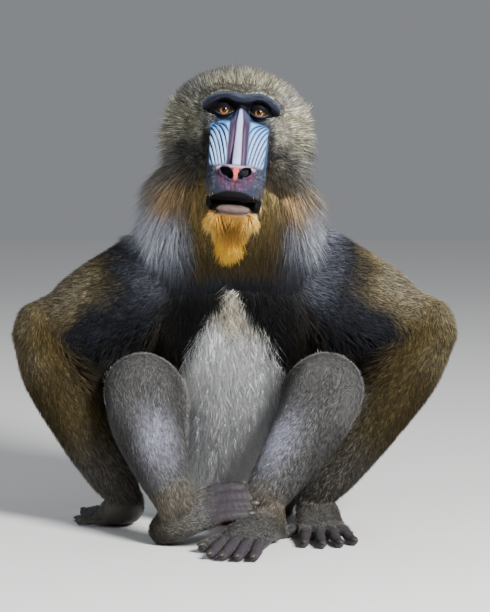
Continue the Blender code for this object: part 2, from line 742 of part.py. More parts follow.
def cut_ellipsoid(obj, name, place, half_sizes, cutters):
    """Cuts an ellipsoid of the head's frame out of obj."""
    cutter = add_cutter(name, head_ellipsoid(name, place, half_sizes, 12, 6), cutters)
    boolean(obj, "DIFFERENCE", cutter)
    bpy.data.objects.remove(cutter)


def head_pieces(body, cutters):
    """The closed pieces of the head: one smooth core, then lids, ridges and locks."""
    shapes = [
        head_ellipsoid("cranium", CRANIUM_CENTRE, CRANIUM_HALF, 24, 16),
        head_ellipsoid("mask", MASK, MASK_HALF),
        head_ellipsoid("glabella", GLABELLA, GLABELLA_HALF),
        head_loft("muzzle", MUZZLE_STATIONS, 20, 9),
        head_loft("bridge", BRIDGE_STATIONS, 10, 8),
        head_loft("brow", BROW_STATIONS, 10, 12, HEAD_UP),
        head_ellipsoid("nose", NOSE, NOSE_HALF),
        head_ellipsoid("lip", LIP, LIP_HALF),
    ]
    for sign in SIGN.values():
        shapes.append(head_ellipsoid("cheek", mirrored(CHEEK, sign), CHEEK_HALF))
        shapes.append(head_ellipsoid("jowl", mirrored(JOWL, sign), JOWL_HALF))
        shapes.append(head_loft("swelling", [mirrored(row, sign) for row in SWELLING_STATIONS], 12, 8))
    core = melt("head_core", shapes, 3 * MM, 4, HEAD_TARGET, "crown_coat", body)
    for sign in SIGN.values():
        place = (sign * EYE_SPACING / 2, 0, SOCKET_FORWARD)
        cut_ellipsoid(core, "socket", place, SOCKET_HALF, cutters)
    pieces = [core.data] + lid_meshes() + ridge_meshes() + ruff_locks() + jowl_locks()
    bpy.data.objects.remove(core)
    return pieces


def cut_nostrils(head, cutters):
    for sign in SIGN.values():
        cut_ellipsoid(head, "nostril", mirrored(NOSTRIL, sign), NOSTRIL_HALF, cutters)


def build_eye(side, body):
    place = (SIGN[side] * EYE_SPACING / 2, 0, EYE_FORWARD)
    mesh = head_ellipsoid("eye", place, (EYE_RADIUS,) * 3, 12, 7)
    return fuse(f"eye_{side}", [mesh], "eye", body)


BEARD_ROWS = ((-138, 42, 3, 36, 44), (-146, 22, 4, 56, 48), (-152, 34, 3, 34, 46))


def beard_locks():
    """The beard: pointed, fanning from the chin and the lower lip down to one tip."""
    draw = random.Random(3)
    locks = []
    for w, d, count, spread, length in BEARD_ROWS:
        for k in range(count):
            u = spread * ((k + 0.5) / count - 0.5)
            lie = turned(Vector((2.5 - u * 0.45, -length, 2)), (0, 0, 1), draw.uniform(-5, 5))
            long = length * draw.uniform(0.9, 1.1) * (1 - abs(u) / 90)
            locks.append(lock_mesh(head_place(u, w, d), head_vector(u * 0.02, 0.1, 1),
                                   head_vector(*lie.normalized()), long, 4, 22, 9))
    return locks


def build_jaw(body):
    """The lower jaw, with the beard hanging from its chin."""
    jaw = head_loft("jaw", JAW_STATIONS, 12, 5, cap_rings=1)
    chin = head_loft("chin", CHIN_STATIONS, 8, 4, cap_rings=1)
    return fuse("lower_jaw", [jaw, chin] + beard_locks(), "beard_coat", body)


def build_ear(side, body, cutters):
    """A small cupped ear that lies close to the head, deep in the ruff."""
    middle, sign = CRANIUM_CENTRE[0], SIGN[side]
    shell = head_ellipsoid("ear", (middle + sign * EAR[0], *EAR[1:]), EAR_HALF, 12, 8)
    ear = fuse(f"ear_{side}", [shell], "hand_skin", body)
    cut_ellipsoid(ear, "cup", (middle + sign * EAR_CUP[0], *EAR_CUP[1:]), EAR_CUP_HALF, cutters)
    keep_largest(ear)
    return ear


def build_mandrill():
    clear_scene()
    body = new_collection("mandrill")
    cutters = new_collection("cutters", helper=True)
    torso, torso_core = build_torso(body)
    cut_below_floor(torso, cutters)
    pieces = head_pieces(body, cutters)
    head = fuse("head", pieces, "crown_coat", body)
    cut_nostrils(head, cutters)
    clear_of_pieces(torso, pieces, TORSO_TOP)
    arms = {side: build_upper_arm(side, body) for side in SIGN}
    neck, neck_core = build_neck(body)
    for arm in arms.values():
        clear_of(arm, [torso], cutters)
        clear_of_pieces(arm, [neck_core], NECK_TOP)
    # The exact solver joins the neck's locks to the arms here in place of cutting them
    clear_of(neck, [torso, *arms.values()], cutters, solver="MANIFOLD")
    clear_of_pieces(neck, pieces, NECK_TOP)
    jaw = build_jaw(body)
    clear_of_pieces(jaw, pieces, NECK_TOP)
    clear_of(jaw, [neck], cutters)
    tail = build_tail(body)
    clear_of(tail, [torso], cutters)
    for side in SIGN:
        eye = build_eye(side, body)
        clear_of(head, [eye], cutters)
        ear = build_ear(side, body, cutters)
        clear_of(head, [ear], cutters)
        pad = build_sitting_pad(side, body, cutters)
        clear_of(torso, [pad], cutters)
        upper_arm = arms[side]
        forearm = build_forearm(side, body)
        clear_of(forearm, [upper_arm], cutters)
        thigh = build_thigh(side, body)
        clear_of_pieces(thigh, [torso_core], NECK_TOP)
        clear_of(thigh, [pad, upper_arm], cutters)
        lower_leg = build_lower_leg(side, body)
        clear_of(lower_leg, [thigh], cutters)
        clear_of(torso, [thigh, lower_leg], cutters)
        clear_of(forearm, [thigh, lower_leg], cutters)
        hand = build_hand(side, body, cutters)
        clear_of(hand, [forearm], cutters)
    left_foot = build_left_foot(body, cutters)
    clear_of(left_foot, [body.objects["lower_leg_left"]], cutters)
    right_foot = build_right_foot(body, cutters)
    lower_legs = [body.objects["lower_leg_right"], body.objects["lower_leg_left"]]
    clear_of(right_foot, lower_legs + [left_foot], cutters)
    bpy.data.collections.remove(cutters)
    to_seat = Matrix.Translation(-Vector(SEAT) * MM)
    for obj in body.objects:
        obj.data.transform(to_seat)
        obj.data.shade_smooth()
        obj.data.set_sharp_from_angle(angle=SHARP_ANGLE)


build_mandrill()
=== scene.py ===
"""The looks of a seated mandrill at life size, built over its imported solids.

One skin takes the place of every node of flesh. Fur and long hair stand on it as tapered tufts,
one piece for each part of the body. The eyes and the nails are pieces of their own.
Tables and working arrays are in millimetres, in a frame whose origin lies SEAT before the rump;
a mesh is moved into the row frame, in metres, when it is made.
"""

import logging
import math
from dataclasses import dataclass, field
from enum import Enum

import bpy
import numpy as np
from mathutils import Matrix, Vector


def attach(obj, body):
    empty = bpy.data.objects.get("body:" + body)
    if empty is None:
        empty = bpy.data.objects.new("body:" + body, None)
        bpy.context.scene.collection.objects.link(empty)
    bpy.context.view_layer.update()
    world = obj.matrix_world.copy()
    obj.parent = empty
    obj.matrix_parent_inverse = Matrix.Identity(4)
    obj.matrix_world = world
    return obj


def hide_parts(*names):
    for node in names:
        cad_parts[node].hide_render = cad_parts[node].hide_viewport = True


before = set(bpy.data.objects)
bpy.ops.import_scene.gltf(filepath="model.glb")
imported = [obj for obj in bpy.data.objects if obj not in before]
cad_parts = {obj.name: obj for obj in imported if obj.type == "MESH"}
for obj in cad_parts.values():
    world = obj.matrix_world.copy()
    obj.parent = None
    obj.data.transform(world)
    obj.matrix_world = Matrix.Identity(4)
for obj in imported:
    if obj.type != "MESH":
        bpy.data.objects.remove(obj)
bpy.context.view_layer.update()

log = logging.getLogger("mandrill")

MM = 0.001
SEAT = np.array((0.0, 58.0, 0.0))
FLOOR_CLEARANCE = 0.4  # how far above the floor the lowest point of skin and coat stays
CAP_RINGS = 4  # rings on each rounded end of a loft
CAP_REACH = 0.8  # how far such an end reaches, as a share of the smaller half width
RIPPLE_WAVES = 8
RIPPLE_PACE = 2.6  # how fast a ripple's waves turn, over its size
RIPPLE_SPREAD = 3.2  # what brings their sum to about -1 to 1
COLOURS = "coat"  # the attribute in which every piece keeps its colours
Array = np.ndarray
Row = tuple[float, ...]

SHOULDER = {"left": (104, 26, 340), "right": (-100, 26, 338)}
ELBOW = {"left": (258, -34, 266), "right": (-256, -34, 262)}
WRIST = {"left": (108, -66, 50), "right": (-146, -48, 48)}
HIP = {"left": (66, 62, 96), "right": (-66, 62, 96)}
KNEE = {"left": (120, -92, 193), "right": (-120, -88, 192)}
ANKLE = {"left": (36, -176, 58), "right": (-76, -170, 60)}
SIDES = {"left": 1.0, "right": -1.0}


# Numbers and directions


def unit(rows: Array) -> Array:
    """Return the rows at length one."""
    return rows / np.maximum(np.linalg.norm(rows, axis=-1, keepdims=True), 1e-9)


def ease(low: float, high: float, value: Array) -> Array:
    """Return 0 below low, 1 above high and the smooth cubic between them."""
    share = np.clip((value - low) / (high - low), 0.0, 1.0)
    return share * share * (3.0 - 2.0 * share)


def hump(value: Array, middle: float | Array, half: float | Array) -> Array:
    """Return a bell of height 1 at the middle that falls to 1/e at half the width."""
    return np.exp(-(((value - middle) / half) ** 2))


def mix(first: Array, second: Array | Row, share: Array) -> Array:
    """Blend rows of numbers.

    Args:
        first: The rows where the share is 0.
        second: One row, or as many rows, where the share is 1.
        share: The share of the second, one for each row.

    Returns:
        The blended rows.
    """
    share = share[:, None]
    return first * (1.0 - share) + np.asarray(second, float) * share


def ripple(points: Array, size: float, seed: int) -> Array:
    """Give a slow, wavy variation over space: the mean of eight plane waves.

    Args:
        points: Places, in millimetres.
        size: About the length of a wave.
        seed: Which waves are drawn.

    Returns:
        A number from about -1 to 1 for each point.
    """
    draw = np.random.default_rng(seed)
    waves = draw.normal(size=(RIPPLE_WAVES, 3)) * (RIPPLE_PACE / size)
    phases = draw.uniform(0.0, 2.0 * np.pi, RIPPLE_WAVES)
    return np.sin(points @ waves.T + phases).sum(axis=1) / RIPPLE_SPREAD


# Surfaces of two parameters


@dataclass
class Shell:
    """A closed surface: its points, and its faces of four and of three corners."""

    points: Array
    quads: Array
    tris: Array

    def moved(self, place: "HeadFrame") -> "Shell":
        """Return the shell with its points taken from the head's own frame to the body's."""
        return Shell(place.to_body(self.points), self.quads, self.tris)


def smooth_line(stations: list[Row], samples: int) -> Array:
    """Carry a Catmull-Rom curve through rows of numbers.

    Args:
        stations: The rows, at even steps of the parameter.
        samples: How many points to take.

    Returns:
        The rows on the curve.
    """
    rows = np.array(stations, float)
    ends = np.vstack([2 * rows[0] - rows[1], rows, 2 * rows[-1] - rows[-2]])
    place = np.linspace(0, len(rows) - 1, samples)
    span = np.minimum(place.astype(int), len(rows) - 2)
    t = (place - span)[:, None]
    a, b, c, d = (ends[span + k] for k in range(4))
    return 0.5 * (2 * b + (c - a) * t + (2 * a - 5 * b + 4 * c - d) * t**2
                  + (3 * b - a - 3 * c + d) * t**3)


def closed_rows(rows: Array, poles: Array) -> Shell:
    """Join rings of points into a closed shell.

    Args:
        rows: Points as ring by side by three.
        poles: The first and the last pole.

    Returns:
        The shell, with its faces outwards.
    """
    count, sides = rows.shape[:2]
    k = np.arange(sides)
    beside = (k + 1) % sides
    low = (np.arange(count - 1) * sides)[:, None]
    quads = np.stack([low + k, low + beside, low + sides + beside, low + sides + k], axis=-1)
    top = (count - 1) * sides
    first = np.stack([np.full(sides, count * sides), beside, k], axis=-1)
    last = np.stack([np.full(sides, count * sides + 1), top + k, top + beside], axis=-1)
    points = np.vstack([rows.reshape(-1, 3), poles])
    return Shell(points, quads.reshape(-1, 4), np.vstack([first, last]))


def stacked(shells: list[Shell]) -> Shell:
    """Put shells together as one.

    Args:
        shells: The shells.

    Returns:
        One shell with all their points and faces.
    """
    starts = np.cumsum([0] + [len(shell.points) for shell in shells])[:-1]
    quads = np.vstack([shell.quads + start for shell, start in zip(shells, starts)])
    tris = np.vstack([shell.tris + start for shell, start in zip(shells, starts)])
    return Shell(np.vstack([shell.points for shell in shells]), quads, tris)


def loft(stations: list[Row], hint: Row = (1, 0, 0), sides: int = 28, rings: int = 24) -> Shell:
    """Carry an ellipse along a smooth line and round over both ends.

    A point at ring s and angle v is centre(s) + a(s) cos v across(s) + b(s) sin v through(s). At an
    end the rings shrink by sin w while they move on by 0.8 cos w of the smaller half width.

    Args:
        stations: Rows of x, y, z, half width along the hint, half width through.
        hint: The direction that the first half width lies nearest to.
        sides: Points round each ring.
        rings: Rings along the line.

    Returns:
        The closed shell.
    """
    line = smooth_line(stations, rings)
    centres, half_a, half_b = line[:, :3], line[:, 3], line[:, 4]
    along = unit(np.gradient(centres, axis=0))
    toward = np.array(hint, float)
    across = unit(toward - along * (along @ toward)[:, None])
    through = np.cross(along, across)
    turn = np.linspace(0.0, 2.0 * np.pi, sides, endpoint=False)
    cap = np.linspace(0.0, np.pi / 2, CAP_RINGS + 2)[1:-1]
    ring = np.concatenate([np.zeros(CAP_RINGS, int), np.arange(rings), np.full(CAP_RINGS, rings - 1)])
    shrink = np.concatenate([np.sin(cap), np.ones(rings), np.sin(cap[::-1])])
    push = np.concatenate([-np.cos(cap), np.zeros(rings), np.cos(cap[::-1])]) * CAP_REACH
    reach = np.minimum(half_a, half_b)
    middle = centres[ring] + along[ring] * (push * reach[ring])[:, None]
    wide = across[ring] * (half_a[ring] * shrink)[:, None]
    deep = through[ring] * (half_b[ring] * shrink)[:, None]
    rows = (middle[:, None] + np.cos(turn)[None, :, None] * wide[:, None]
            + np.sin(turn)[None, :, None] * deep[:, None])
    first = centres[0] - along[0] * reach[0] * CAP_REACH
    last = centres[-1] + along[-1] * reach[-1] * CAP_REACH
    return closed_rows(rows, np.array([first, last]))


def ellipsoid(centre: Row, half: Row, sides: int = 36, rings: int = 22) -> Shell:
    """Make a stretched sphere: centre + half * (cos v cos t, cos v sin t, sin v) over turn t and height v.

    Args:
        centre: Its middle.
        half: Its three half widths.
        sides: Points round each ring.
        rings: Rings between the poles.

    Returns:
        The closed shell.
    """
    rise = np.linspace(-np.pi / 2, np.pi / 2, rings + 2)[1:-1]
    turn = np.linspace(0.0, 2.0 * np.pi, sides, endpoint=False)
    level = np.cos(rise)[:, None]
    rows = np.stack([level * np.cos(turn), level * np.sin(turn), np.sin(rise)[:, None] + 0 * turn],
                    axis=-1)
    middle, size = np.array(centre, float), np.array(half, float)
    poles = middle + np.array([(0.0, 0.0, -1.0), (0.0, 0.0, 1.0)]) * size
    return closed_rows(middle + rows * size, poles)


# Meshes and objects


def faces_into(mesh: bpy.types.Mesh, groups: list[Array]) -> None:
    """Put faces into a mesh that has its points.

    Args:
        mesh: The mesh.
        groups: Arrays of faces, each with its own number of corners.
    """
    corners = np.concatenate([group.reshape(-1) for group in groups]).astype(np.int32)
    sizes = np.concatenate([np.full(len(group), group.shape[1]) for group in groups])
    starts = np.concatenate([[0], np.cumsum(sizes)[:-1]]).astype(np.int32)
    mesh.loops.add(len(corners))
    mesh.loops.foreach_set("vertex_index", corners)
    mesh.polygons.add(len(sizes))
    mesh.polygons.foreach_set("loop_start", starts)
    mesh.update(calc_edges=True)


def mesh_of(name: str, points: Array, groups: list[Array]) -> bpy.types.Mesh:
    """Make a mesh from arrays as they are, in millimetres.

    Args:
        name: Its name.
        points: Its points.
        groups: Its faces, by number of corners.

    Returns:
        The mesh.
    """
    mesh = bpy.data.meshes.new(name)
    mesh.vertices.add(len(points))
    mesh.vertices.foreach_set("co", points.astype(np.float32).ravel())
    faces_into(mesh, groups)
    return mesh


def points_into(mesh: bpy.types.Mesh, points: Array) -> None:
    """Move the points of a mesh to these places."""
    mesh.vertices.foreach_set("co", points.astype(np.float32).ravel())
    mesh.update()


def rows_of(items: bpy.types.bpy_prop_collection, key: str) -> Array:
    """Read three numbers from each item.

    Args:
        items: The points or the normals of a mesh.
        key: The name of the numbers.

    Returns:
        One row for each item.
    """
    flat = np.empty(len(items) * 3, np.float32)
    items.foreach_get(key, flat)
    return flat.reshape(-1, 3).astype(float)


def points_of(mesh: bpy.types.Mesh) -> Array:
    """Return the points of a mesh."""
    return rows_of(mesh.vertices, "co")


def normals_of(mesh: bpy.types.Mesh) -> Array:
    """Return the normals at the points of a mesh."""
    return rows_of(mesh.vertex_normals, "vector")


def linked(name: str, data: bpy.types.ID) -> bpy.types.Object:
    """Return a new object of the scene for a mesh, a lamp or a camera.

    Args:
        name: The name of the object.
        data: What it shows.

    Returns:
        The object.
    """
    made = bpy.data.objects.new(name, data)
    bpy.context.scene.collection.objects.link(made)
    return made


def apply_modifiers(made: bpy.types.Object) -> None:
    """Put the object's modifiers into its mesh.

    Args:
        made: The object.
    """
    graph = bpy.context.evaluated_depsgraph_get()
    mesh = bpy.data.meshes.new_from_object(made.evaluated_get(graph))
    made.modifiers.clear()
    made.data = mesh


def soften(made: bpy.types.Object, factor: float, passes: int, group: str = "") -> None:
    """Add a modifier that eases the points of an object.

    Args:
        made: The object.
        factor: How far a point moves at each pass.
        passes: How many passes there are.
        group: The group of points that move, or all of them where it is empty.
    """
    smooth = made.modifiers.new("ease", "SMOOTH")
    smooth.factor = factor
    smooth.iterations = passes
    smooth.vertex_group = group


def graded(made: bpy.types.Object, weights: Array, least: float = 0.0) -> str:
    """Give the object a group of points, weighted in tenths.

    Args:
        made: The object.
        weights: The weight of each point, from 0 to 1.
        least: The weight where it would be 0.

    Returns:
        The name of the group.
    """
    group = made.vertex_groups.new(name="graded")
    for level in range(11):
        chosen = np.flatnonzero(np.round(weights * 10) == level)
        group.add(chosen.tolist(), max(level / 10, least), "REPLACE")
    return group.name


def melted(name: str, shells: list[Shell], voxel: float, passes: int) -> bpy.types.Object:
    """Draw one smooth skin over overlapping closed shells.

    Args:
        name: The name of the object.
        shells: The shells.
        voxel: The size of the skin's faces.
        passes: How often the skin is eased.

    Returns:
        A working object, in millimetres.
    """
    joined = stacked(shells)
    made = linked(name, mesh_of(name, joined.points, [joined.quads, joined.tris]))
    skin = made.modifiers.new("skin", "REMESH")
    skin.mode = "VOXEL"
    skin.voxel_size = voxel
    soften(made, 0.5, passes)
    apply_modifiers(made)
    return made


def thinned(made: bpy.types.Object, target: int, spared: Array | None = None) -> None:
    """Leave the object about so many triangles.

    Args:
        made: The object.
        target: How many triangles.
        spared: For each point, 1 where the faces stay fine and 0 where they may go.
    """
    now = sum(len(face.vertices) - 2 for face in made.data.polygons)
    thin = made.modifiers.new("thin", "DECIMATE")
    thin.ratio = min(1.0, target / now)
    if spared is not None:
        thin.vertex_group = graded(made, 1.0 - spared, 0.001)
        thin.vertex_group_factor = 1.0
    apply_modifiers(made)
    made.vertex_groups.clear()


# The frame of the head


@dataclass(frozen=True)
class HeadFrame:
    """The head's own frame: across to the animal's left, up and forward from midway between the pupils."""

    origin: Row = (10, -70, 551)
    lean: float = math.radians(5)

    @property
    def axes(self) -> Array:
        """Return the rows across, up and forward."""
        lean_cos, lean_sin = math.cos(self.lean), math.sin(self.lean)
        return np.array([(lean_cos, 0, -lean_sin), (lean_sin, 0, lean_cos), (0, -1, 0)])

    def to_body(self, points: Array) -> Array:
        """Return places of the head as places of the body."""
        return np.array(self.origin) + points @ self.axes

    def to_head(self, points: Array) -> Array:
        """Return places of the body as places of the head."""
        return (points - np.array(self.origin)) @ self.axes.T


HEAD = HeadFrame()
EYE_ACROSS = 22.75
EYE_BACK = -11.0
EYE_TILT = 0.06  # how much an eye's line falls for each millimetre outwards


# The skin's shapes


@dataclass
class Trunk:
    """Torso, neck and tail, as the cores that the long hair stands on."""

    torso: list[Row] = field(default_factory=lambda: [
        (0, 58, 22, 76, 70), (0, 46, 60, 98, 92), (0, 36, 120, 100, 98), (0, 30, 190, 98, 94),
        (0, 28, 260, 112, 88), (0, 28, 314, 117, 82), (0, 32, 346, 84, 60)])
    neck: list[Row] = field(default_factory=lambda: [
        (0, 28, 330, 116, 80), (-3, 22, 380, 116, 82), (-3, 14, 418, 102, 78), (0, 9, 456, 93, 77),
        (3, 5, 486, 78, 72)])
    tail: list[Row] = field(default_factory=lambda: [
        (0, 112, 62, 18, 18), (0, 148, 78, 14, 14), (0, 170, 104, 10, 10), (0, 177, 124, 5, 5)])
    pad_centre: Row = (40, 74, 8)
    pad_half: Row = (24, 31, 12)

    def shells(self) -> list[Shell]:
        """Return the shells of the trunk.

        Returns:
            The shells.
        """
        made = [loft(self.torso, sides=40, rings=40), loft(self.neck, sides=40), loft(self.tail)]
        for sign in SIDES.values():
            x, y, z = self.pad_centre
            made.append(ellipsoid((x * sign, y, z), self.pad_half))
        return made


def along(start: Row, end: Row, share: float, shift: Row = (0, 0, 0)) -> Row:
    """Return the place at a share of the way, with a shift."""
    return tuple(a + (b - a) * share + s for a, b, s in zip(start, end, shift))


@dataclass
class Limbs:
    """Arms and legs, thinner than the solids by the depth of the short coat."""

    arm_depth: float = 6.0
    leg_depth: float = 5.0
    arm_bow: float = 10.0  # how far the forearm bows outwards

    def arm(self, side: str) -> list[Shell]:
        """Return the upper arm and the forearm of a side.

        Args:
            side: Which side.

        Returns:
            The shells.
        """
        shoulder, elbow, wrist = SHOULDER[side], ELBOW[side], WRIST[side]
        bow, cut = self.arm_bow * SIDES[side], self.arm_depth
        upper = [
            (*along(shoulder, elbow, 0, (0, 0, -16)), 66 - cut, 76 - cut),
            (*along(shoulder, elbow, 0.38, (0, 0, -20)), 60 - cut, 75 - cut),
            (*along(shoulder, elbow, 0.72, (0, 0, -17)), 52 - cut, 64 - cut),
            (*elbow, 44 - cut, 44 - cut)]
        fore = [
            (*elbow, 43 - cut, 41 - cut),
            (*along(elbow, wrist, 0.25, (bow * 0.4, 0, 0)), 47 - cut, 51 - cut),
            (*along(elbow, wrist, 0.58, (bow * 0.8, 0, 0)), 42 - cut, 42 - cut),
            (*along(elbow, wrist, 0.85, (bow * 0.3, 0, 0)), 35 - cut, 36 - cut),
            (*wrist, 29 - cut, 28 - cut)]
        return [loft(upper, (0, 1, 0)), loft(fore, (0, 1, 0))]

    def leg(self, side: str) -> list[Shell]:
        """Return the thigh and the lower leg of a side.

        Args:
            side: Which side.

        Returns:
            The shells.
        """
        hip, knee, ankle = HIP[side], KNEE[side], ANKLE[side]
        sign, cut = SIDES[side], self.leg_depth
        thigh = [
            (*hip, 62 - cut, 78 - cut),
            (*along(hip, knee, 0.4, (sign * 12, 0, 4)), 62 - cut, 70 - cut),
            (*along(hip, knee, 0.75, (sign * 6, 0, 4)), 58 - cut, 60 - cut),
            (*knee, 53 - cut, 52 - cut)]
        shin = [
            (*knee, 53 - cut, 52 - cut),
            (*along(knee, ankle, 0.3, (sign * 6, 8, 0)), 51 - cut, 52 - cut),
            (*along(knee, ankle, 0.62, (sign * 5, 6, 0)), 43 - cut, 45 - cut),
            (*ankle, 30 - cut, 32 - cut)]
        return [loft(thigh), loft(shin)]

    def shells(self) -> list[Shell]:
        """Return the shells of both arms and both legs."""
        return [shell for side in SIDES for shell in self.arm(side) + self.leg(side)]


@dataclass
class Digit:
    """A finger or toe in the frame of its paw: where it starts, how long it is and how it curls."""

    start: float
    inward: float
    length: float
    splay: float
    heights: Row
    radius: float


@dataclass
class Paw:
    """A hand or foot: the way it points, the rows of its sole, its digits and its instep."""

    name: str
    origin: Row
    ahead: Row
    up: Row
    inner: int
    sole: list[Row]
    digits: list[Digit]
    instep: list[Row] = field(default_factory=list)
    shares: Row = (-0.2, 0.12, 0.36, 0.58, 0.8, 1.0)  # where a digit's stations lie along it
    swell: Row = (1.04, 1.08, 0.92, 1.0, 0.86, 0.82)  # how thick it is there
    height_shares: Row = (-0.15, 0.25, 0.62, 1.0)  # where its heights are given
    flat: float = 0.94  # its depth over its breadth

    def axes(self) -> tuple[Array, Array, Array]:
        """Return the unit directions ahead, inwards and up of the paw.

        Returns:
            The three directions.
        """
        ahead = unit(np.array(self.ahead, float))
        up = np.array(self.up, float)
        up = unit(up - ahead * (up @ ahead))
        return ahead, np.cross(up, ahead) * self.inner, up

    def at(self, forward: float, inward: float, height: float) -> Row:
        """Return a place of the paw as a place of the body."""
        ahead, beside, up = self.axes()
        return tuple(np.array(self.origin, float) + ahead * forward + beside * inward + up * height)

    def digit_line(self, digit: Digit) -> list[Row]:
        """Work out the stations of a digit: straight ahead, splayed inwards, over the curve of its heights.

        Args:
            digit: The finger or toe.

        Returns:
            Rows of place and two half widths, thicker at each joint.
        """
        turn = math.radians(digit.splay)
        rows = []
        for share, size in zip(self.shares, self.swell):
            height = float(np.interp(share, self.height_shares, digit.heights))
            forward = digit.start + digit.length * share * math.cos(turn)
            sideways = digit.inward + digit.length * share * math.sin(turn)
            half = digit.radius * size
            rows.append((*self.at(forward, sideways, height), half, half * self.flat))
        return rows

    def shells(self) -> list[Shell]:
        """Return the shells of the sole, the instep and every digit.

        Returns:
            The shells.
        """
        beside = tuple(self.axes()[1])
        rows = [(*self.at(*row[:3]), *row[3:]) for row in self.sole]
        made = [loft(rows, beside)]
        if self.instep:
            made.append(loft(self.instep, rings=8))
        for digit in self.digits:
            made.append(loft(self.digit_line(digit), beside, sides=16, rings=26))
        return made


@dataclass
class Paws:
    """Both hands, flat on the floor, and both feet, the right one crossed over behind the left."""

    finger_lengths: Row = (58, 68, 64, 50)
    toe_lengths: Row = (38, 44, 42, 36)
    gap: float = 15.5
    crossed_extra: float = 4.0  # how much longer the toes of the crossed foot are, which lie straight
    crossed_closer: float = 0.95  # and how much closer they lie
    headings: dict[str, float] = field(default_factory=lambda: {"left": -83.0, "right": 103.0})

    def fan(self, start: float, lengths: list[float], splay: float, heights: Row, radius: float,
            gap: float) -> list[Digit]:
        """Lay four digits side by side.

        Args:
            start: Where they start, ahead of the joint.
            lengths: How long each one is.
            splay: How many degrees each one turns off the next.
            heights: How high they run.
            radius: How thick they are.
            gap: How far apart they start.

        Returns:
            The digits, from the innermost out.
        """
        return [Digit(start, (1.5 - k) * gap, length, (1.5 - k) * splay, heights, radius)
                for k, length in enumerate(lengths)]

    def hand(self, side: str) -> Paw:
        """Return a hand laid palm down.

        Args:
            side: Which side.

        Returns:
            The paw.
        """
        turn = math.radians(self.headings[side])
        x, y, z = WRIST[side]
        digits = self.fan(60, self.finger_lengths, 6.5, (12.5, 13, 8.6, 6.2), 7.3, self.gap)
        digits.append(Digit(22, 24, 38, 46, (11, 10, 8.2, 6.2), 7.4))
        sole = [(-6, 0, z - 4, 23, 22), (10, 0, 26, 27.5, 19), (34, 0, 14.5, 30.5, 14.5),
                (58, 0, 10.5, 30.5, 11)]
        return Paw(f"hand_{side}", (x, y, 0), (math.cos(turn), math.sin(turn), 0), (0, 0, 1),
                   -1 if side == "left" else 1, sole, digits)

    def left_foot(self) -> Paw:
        """Return the foot in front, its toes curled down over the edge of its sole.

        Returns:
            The paw.
        """
        x, y, _ = ANKLE["left"]
        digits = self.fan(72, self.toe_lengths, 5, (17, 17.5, 11.5, 7), 7.9, self.gap)
        digits.append(Digit(30, 24, 50, 38, (18, 16, 11, 7.6), 8.8))
        sole = [(-30, 0, 17, 19, 16), (-4, 0, 30, 25, 25), (24, 0, 31, 30, 20), (52, 0, 21.5, 32, 16),
                (70, 0, 15.5, 31, 12)]
        return Paw("foot_left", (x + 2, y, 0), (-0.36, -0.93, 0), (0, 0, 1), -1, sole, digits,
                   [(40, -170, 66, 25, 24), (40, -182, 38, 24, 24)])

    def right_foot(self) -> Paw:
        """Return the foot behind, heel on the floor and toes over the other ankle.

        Returns:
            The paw.
        """
        lengths = [length + self.crossed_extra for length in self.toe_lengths]
        digits = self.fan(78, lengths, -3, (0.5, 0.5, -10, -26), 7.9, self.gap * self.crossed_closer)
        digits.append(Digit(36, 22, 50, 14, (-4, -8, -16, -26), 8.8))
        sole = [(-4, 0, 0, 19, 18), (18, 0, 3, 25, 24), (44, 0, 4, 28, 19), (66, 0, 2, 29, 14.5),
                (80, 0, 0, 28, 11)]
        return Paw("foot_right", (-88, -156, 18), (0.78, -0.42, 0.46), (-0.25, -0.72, 0.62), 1, sole,
                   digits, [(-78, -168, 72, 26, 26), (-70, -176, 50, 26, 25)])

    def all(self) -> list[Paw]:
        """Return the four paws."""
        return [self.hand("left"), self.hand("right"), self.left_foot(), self.right_foot()]


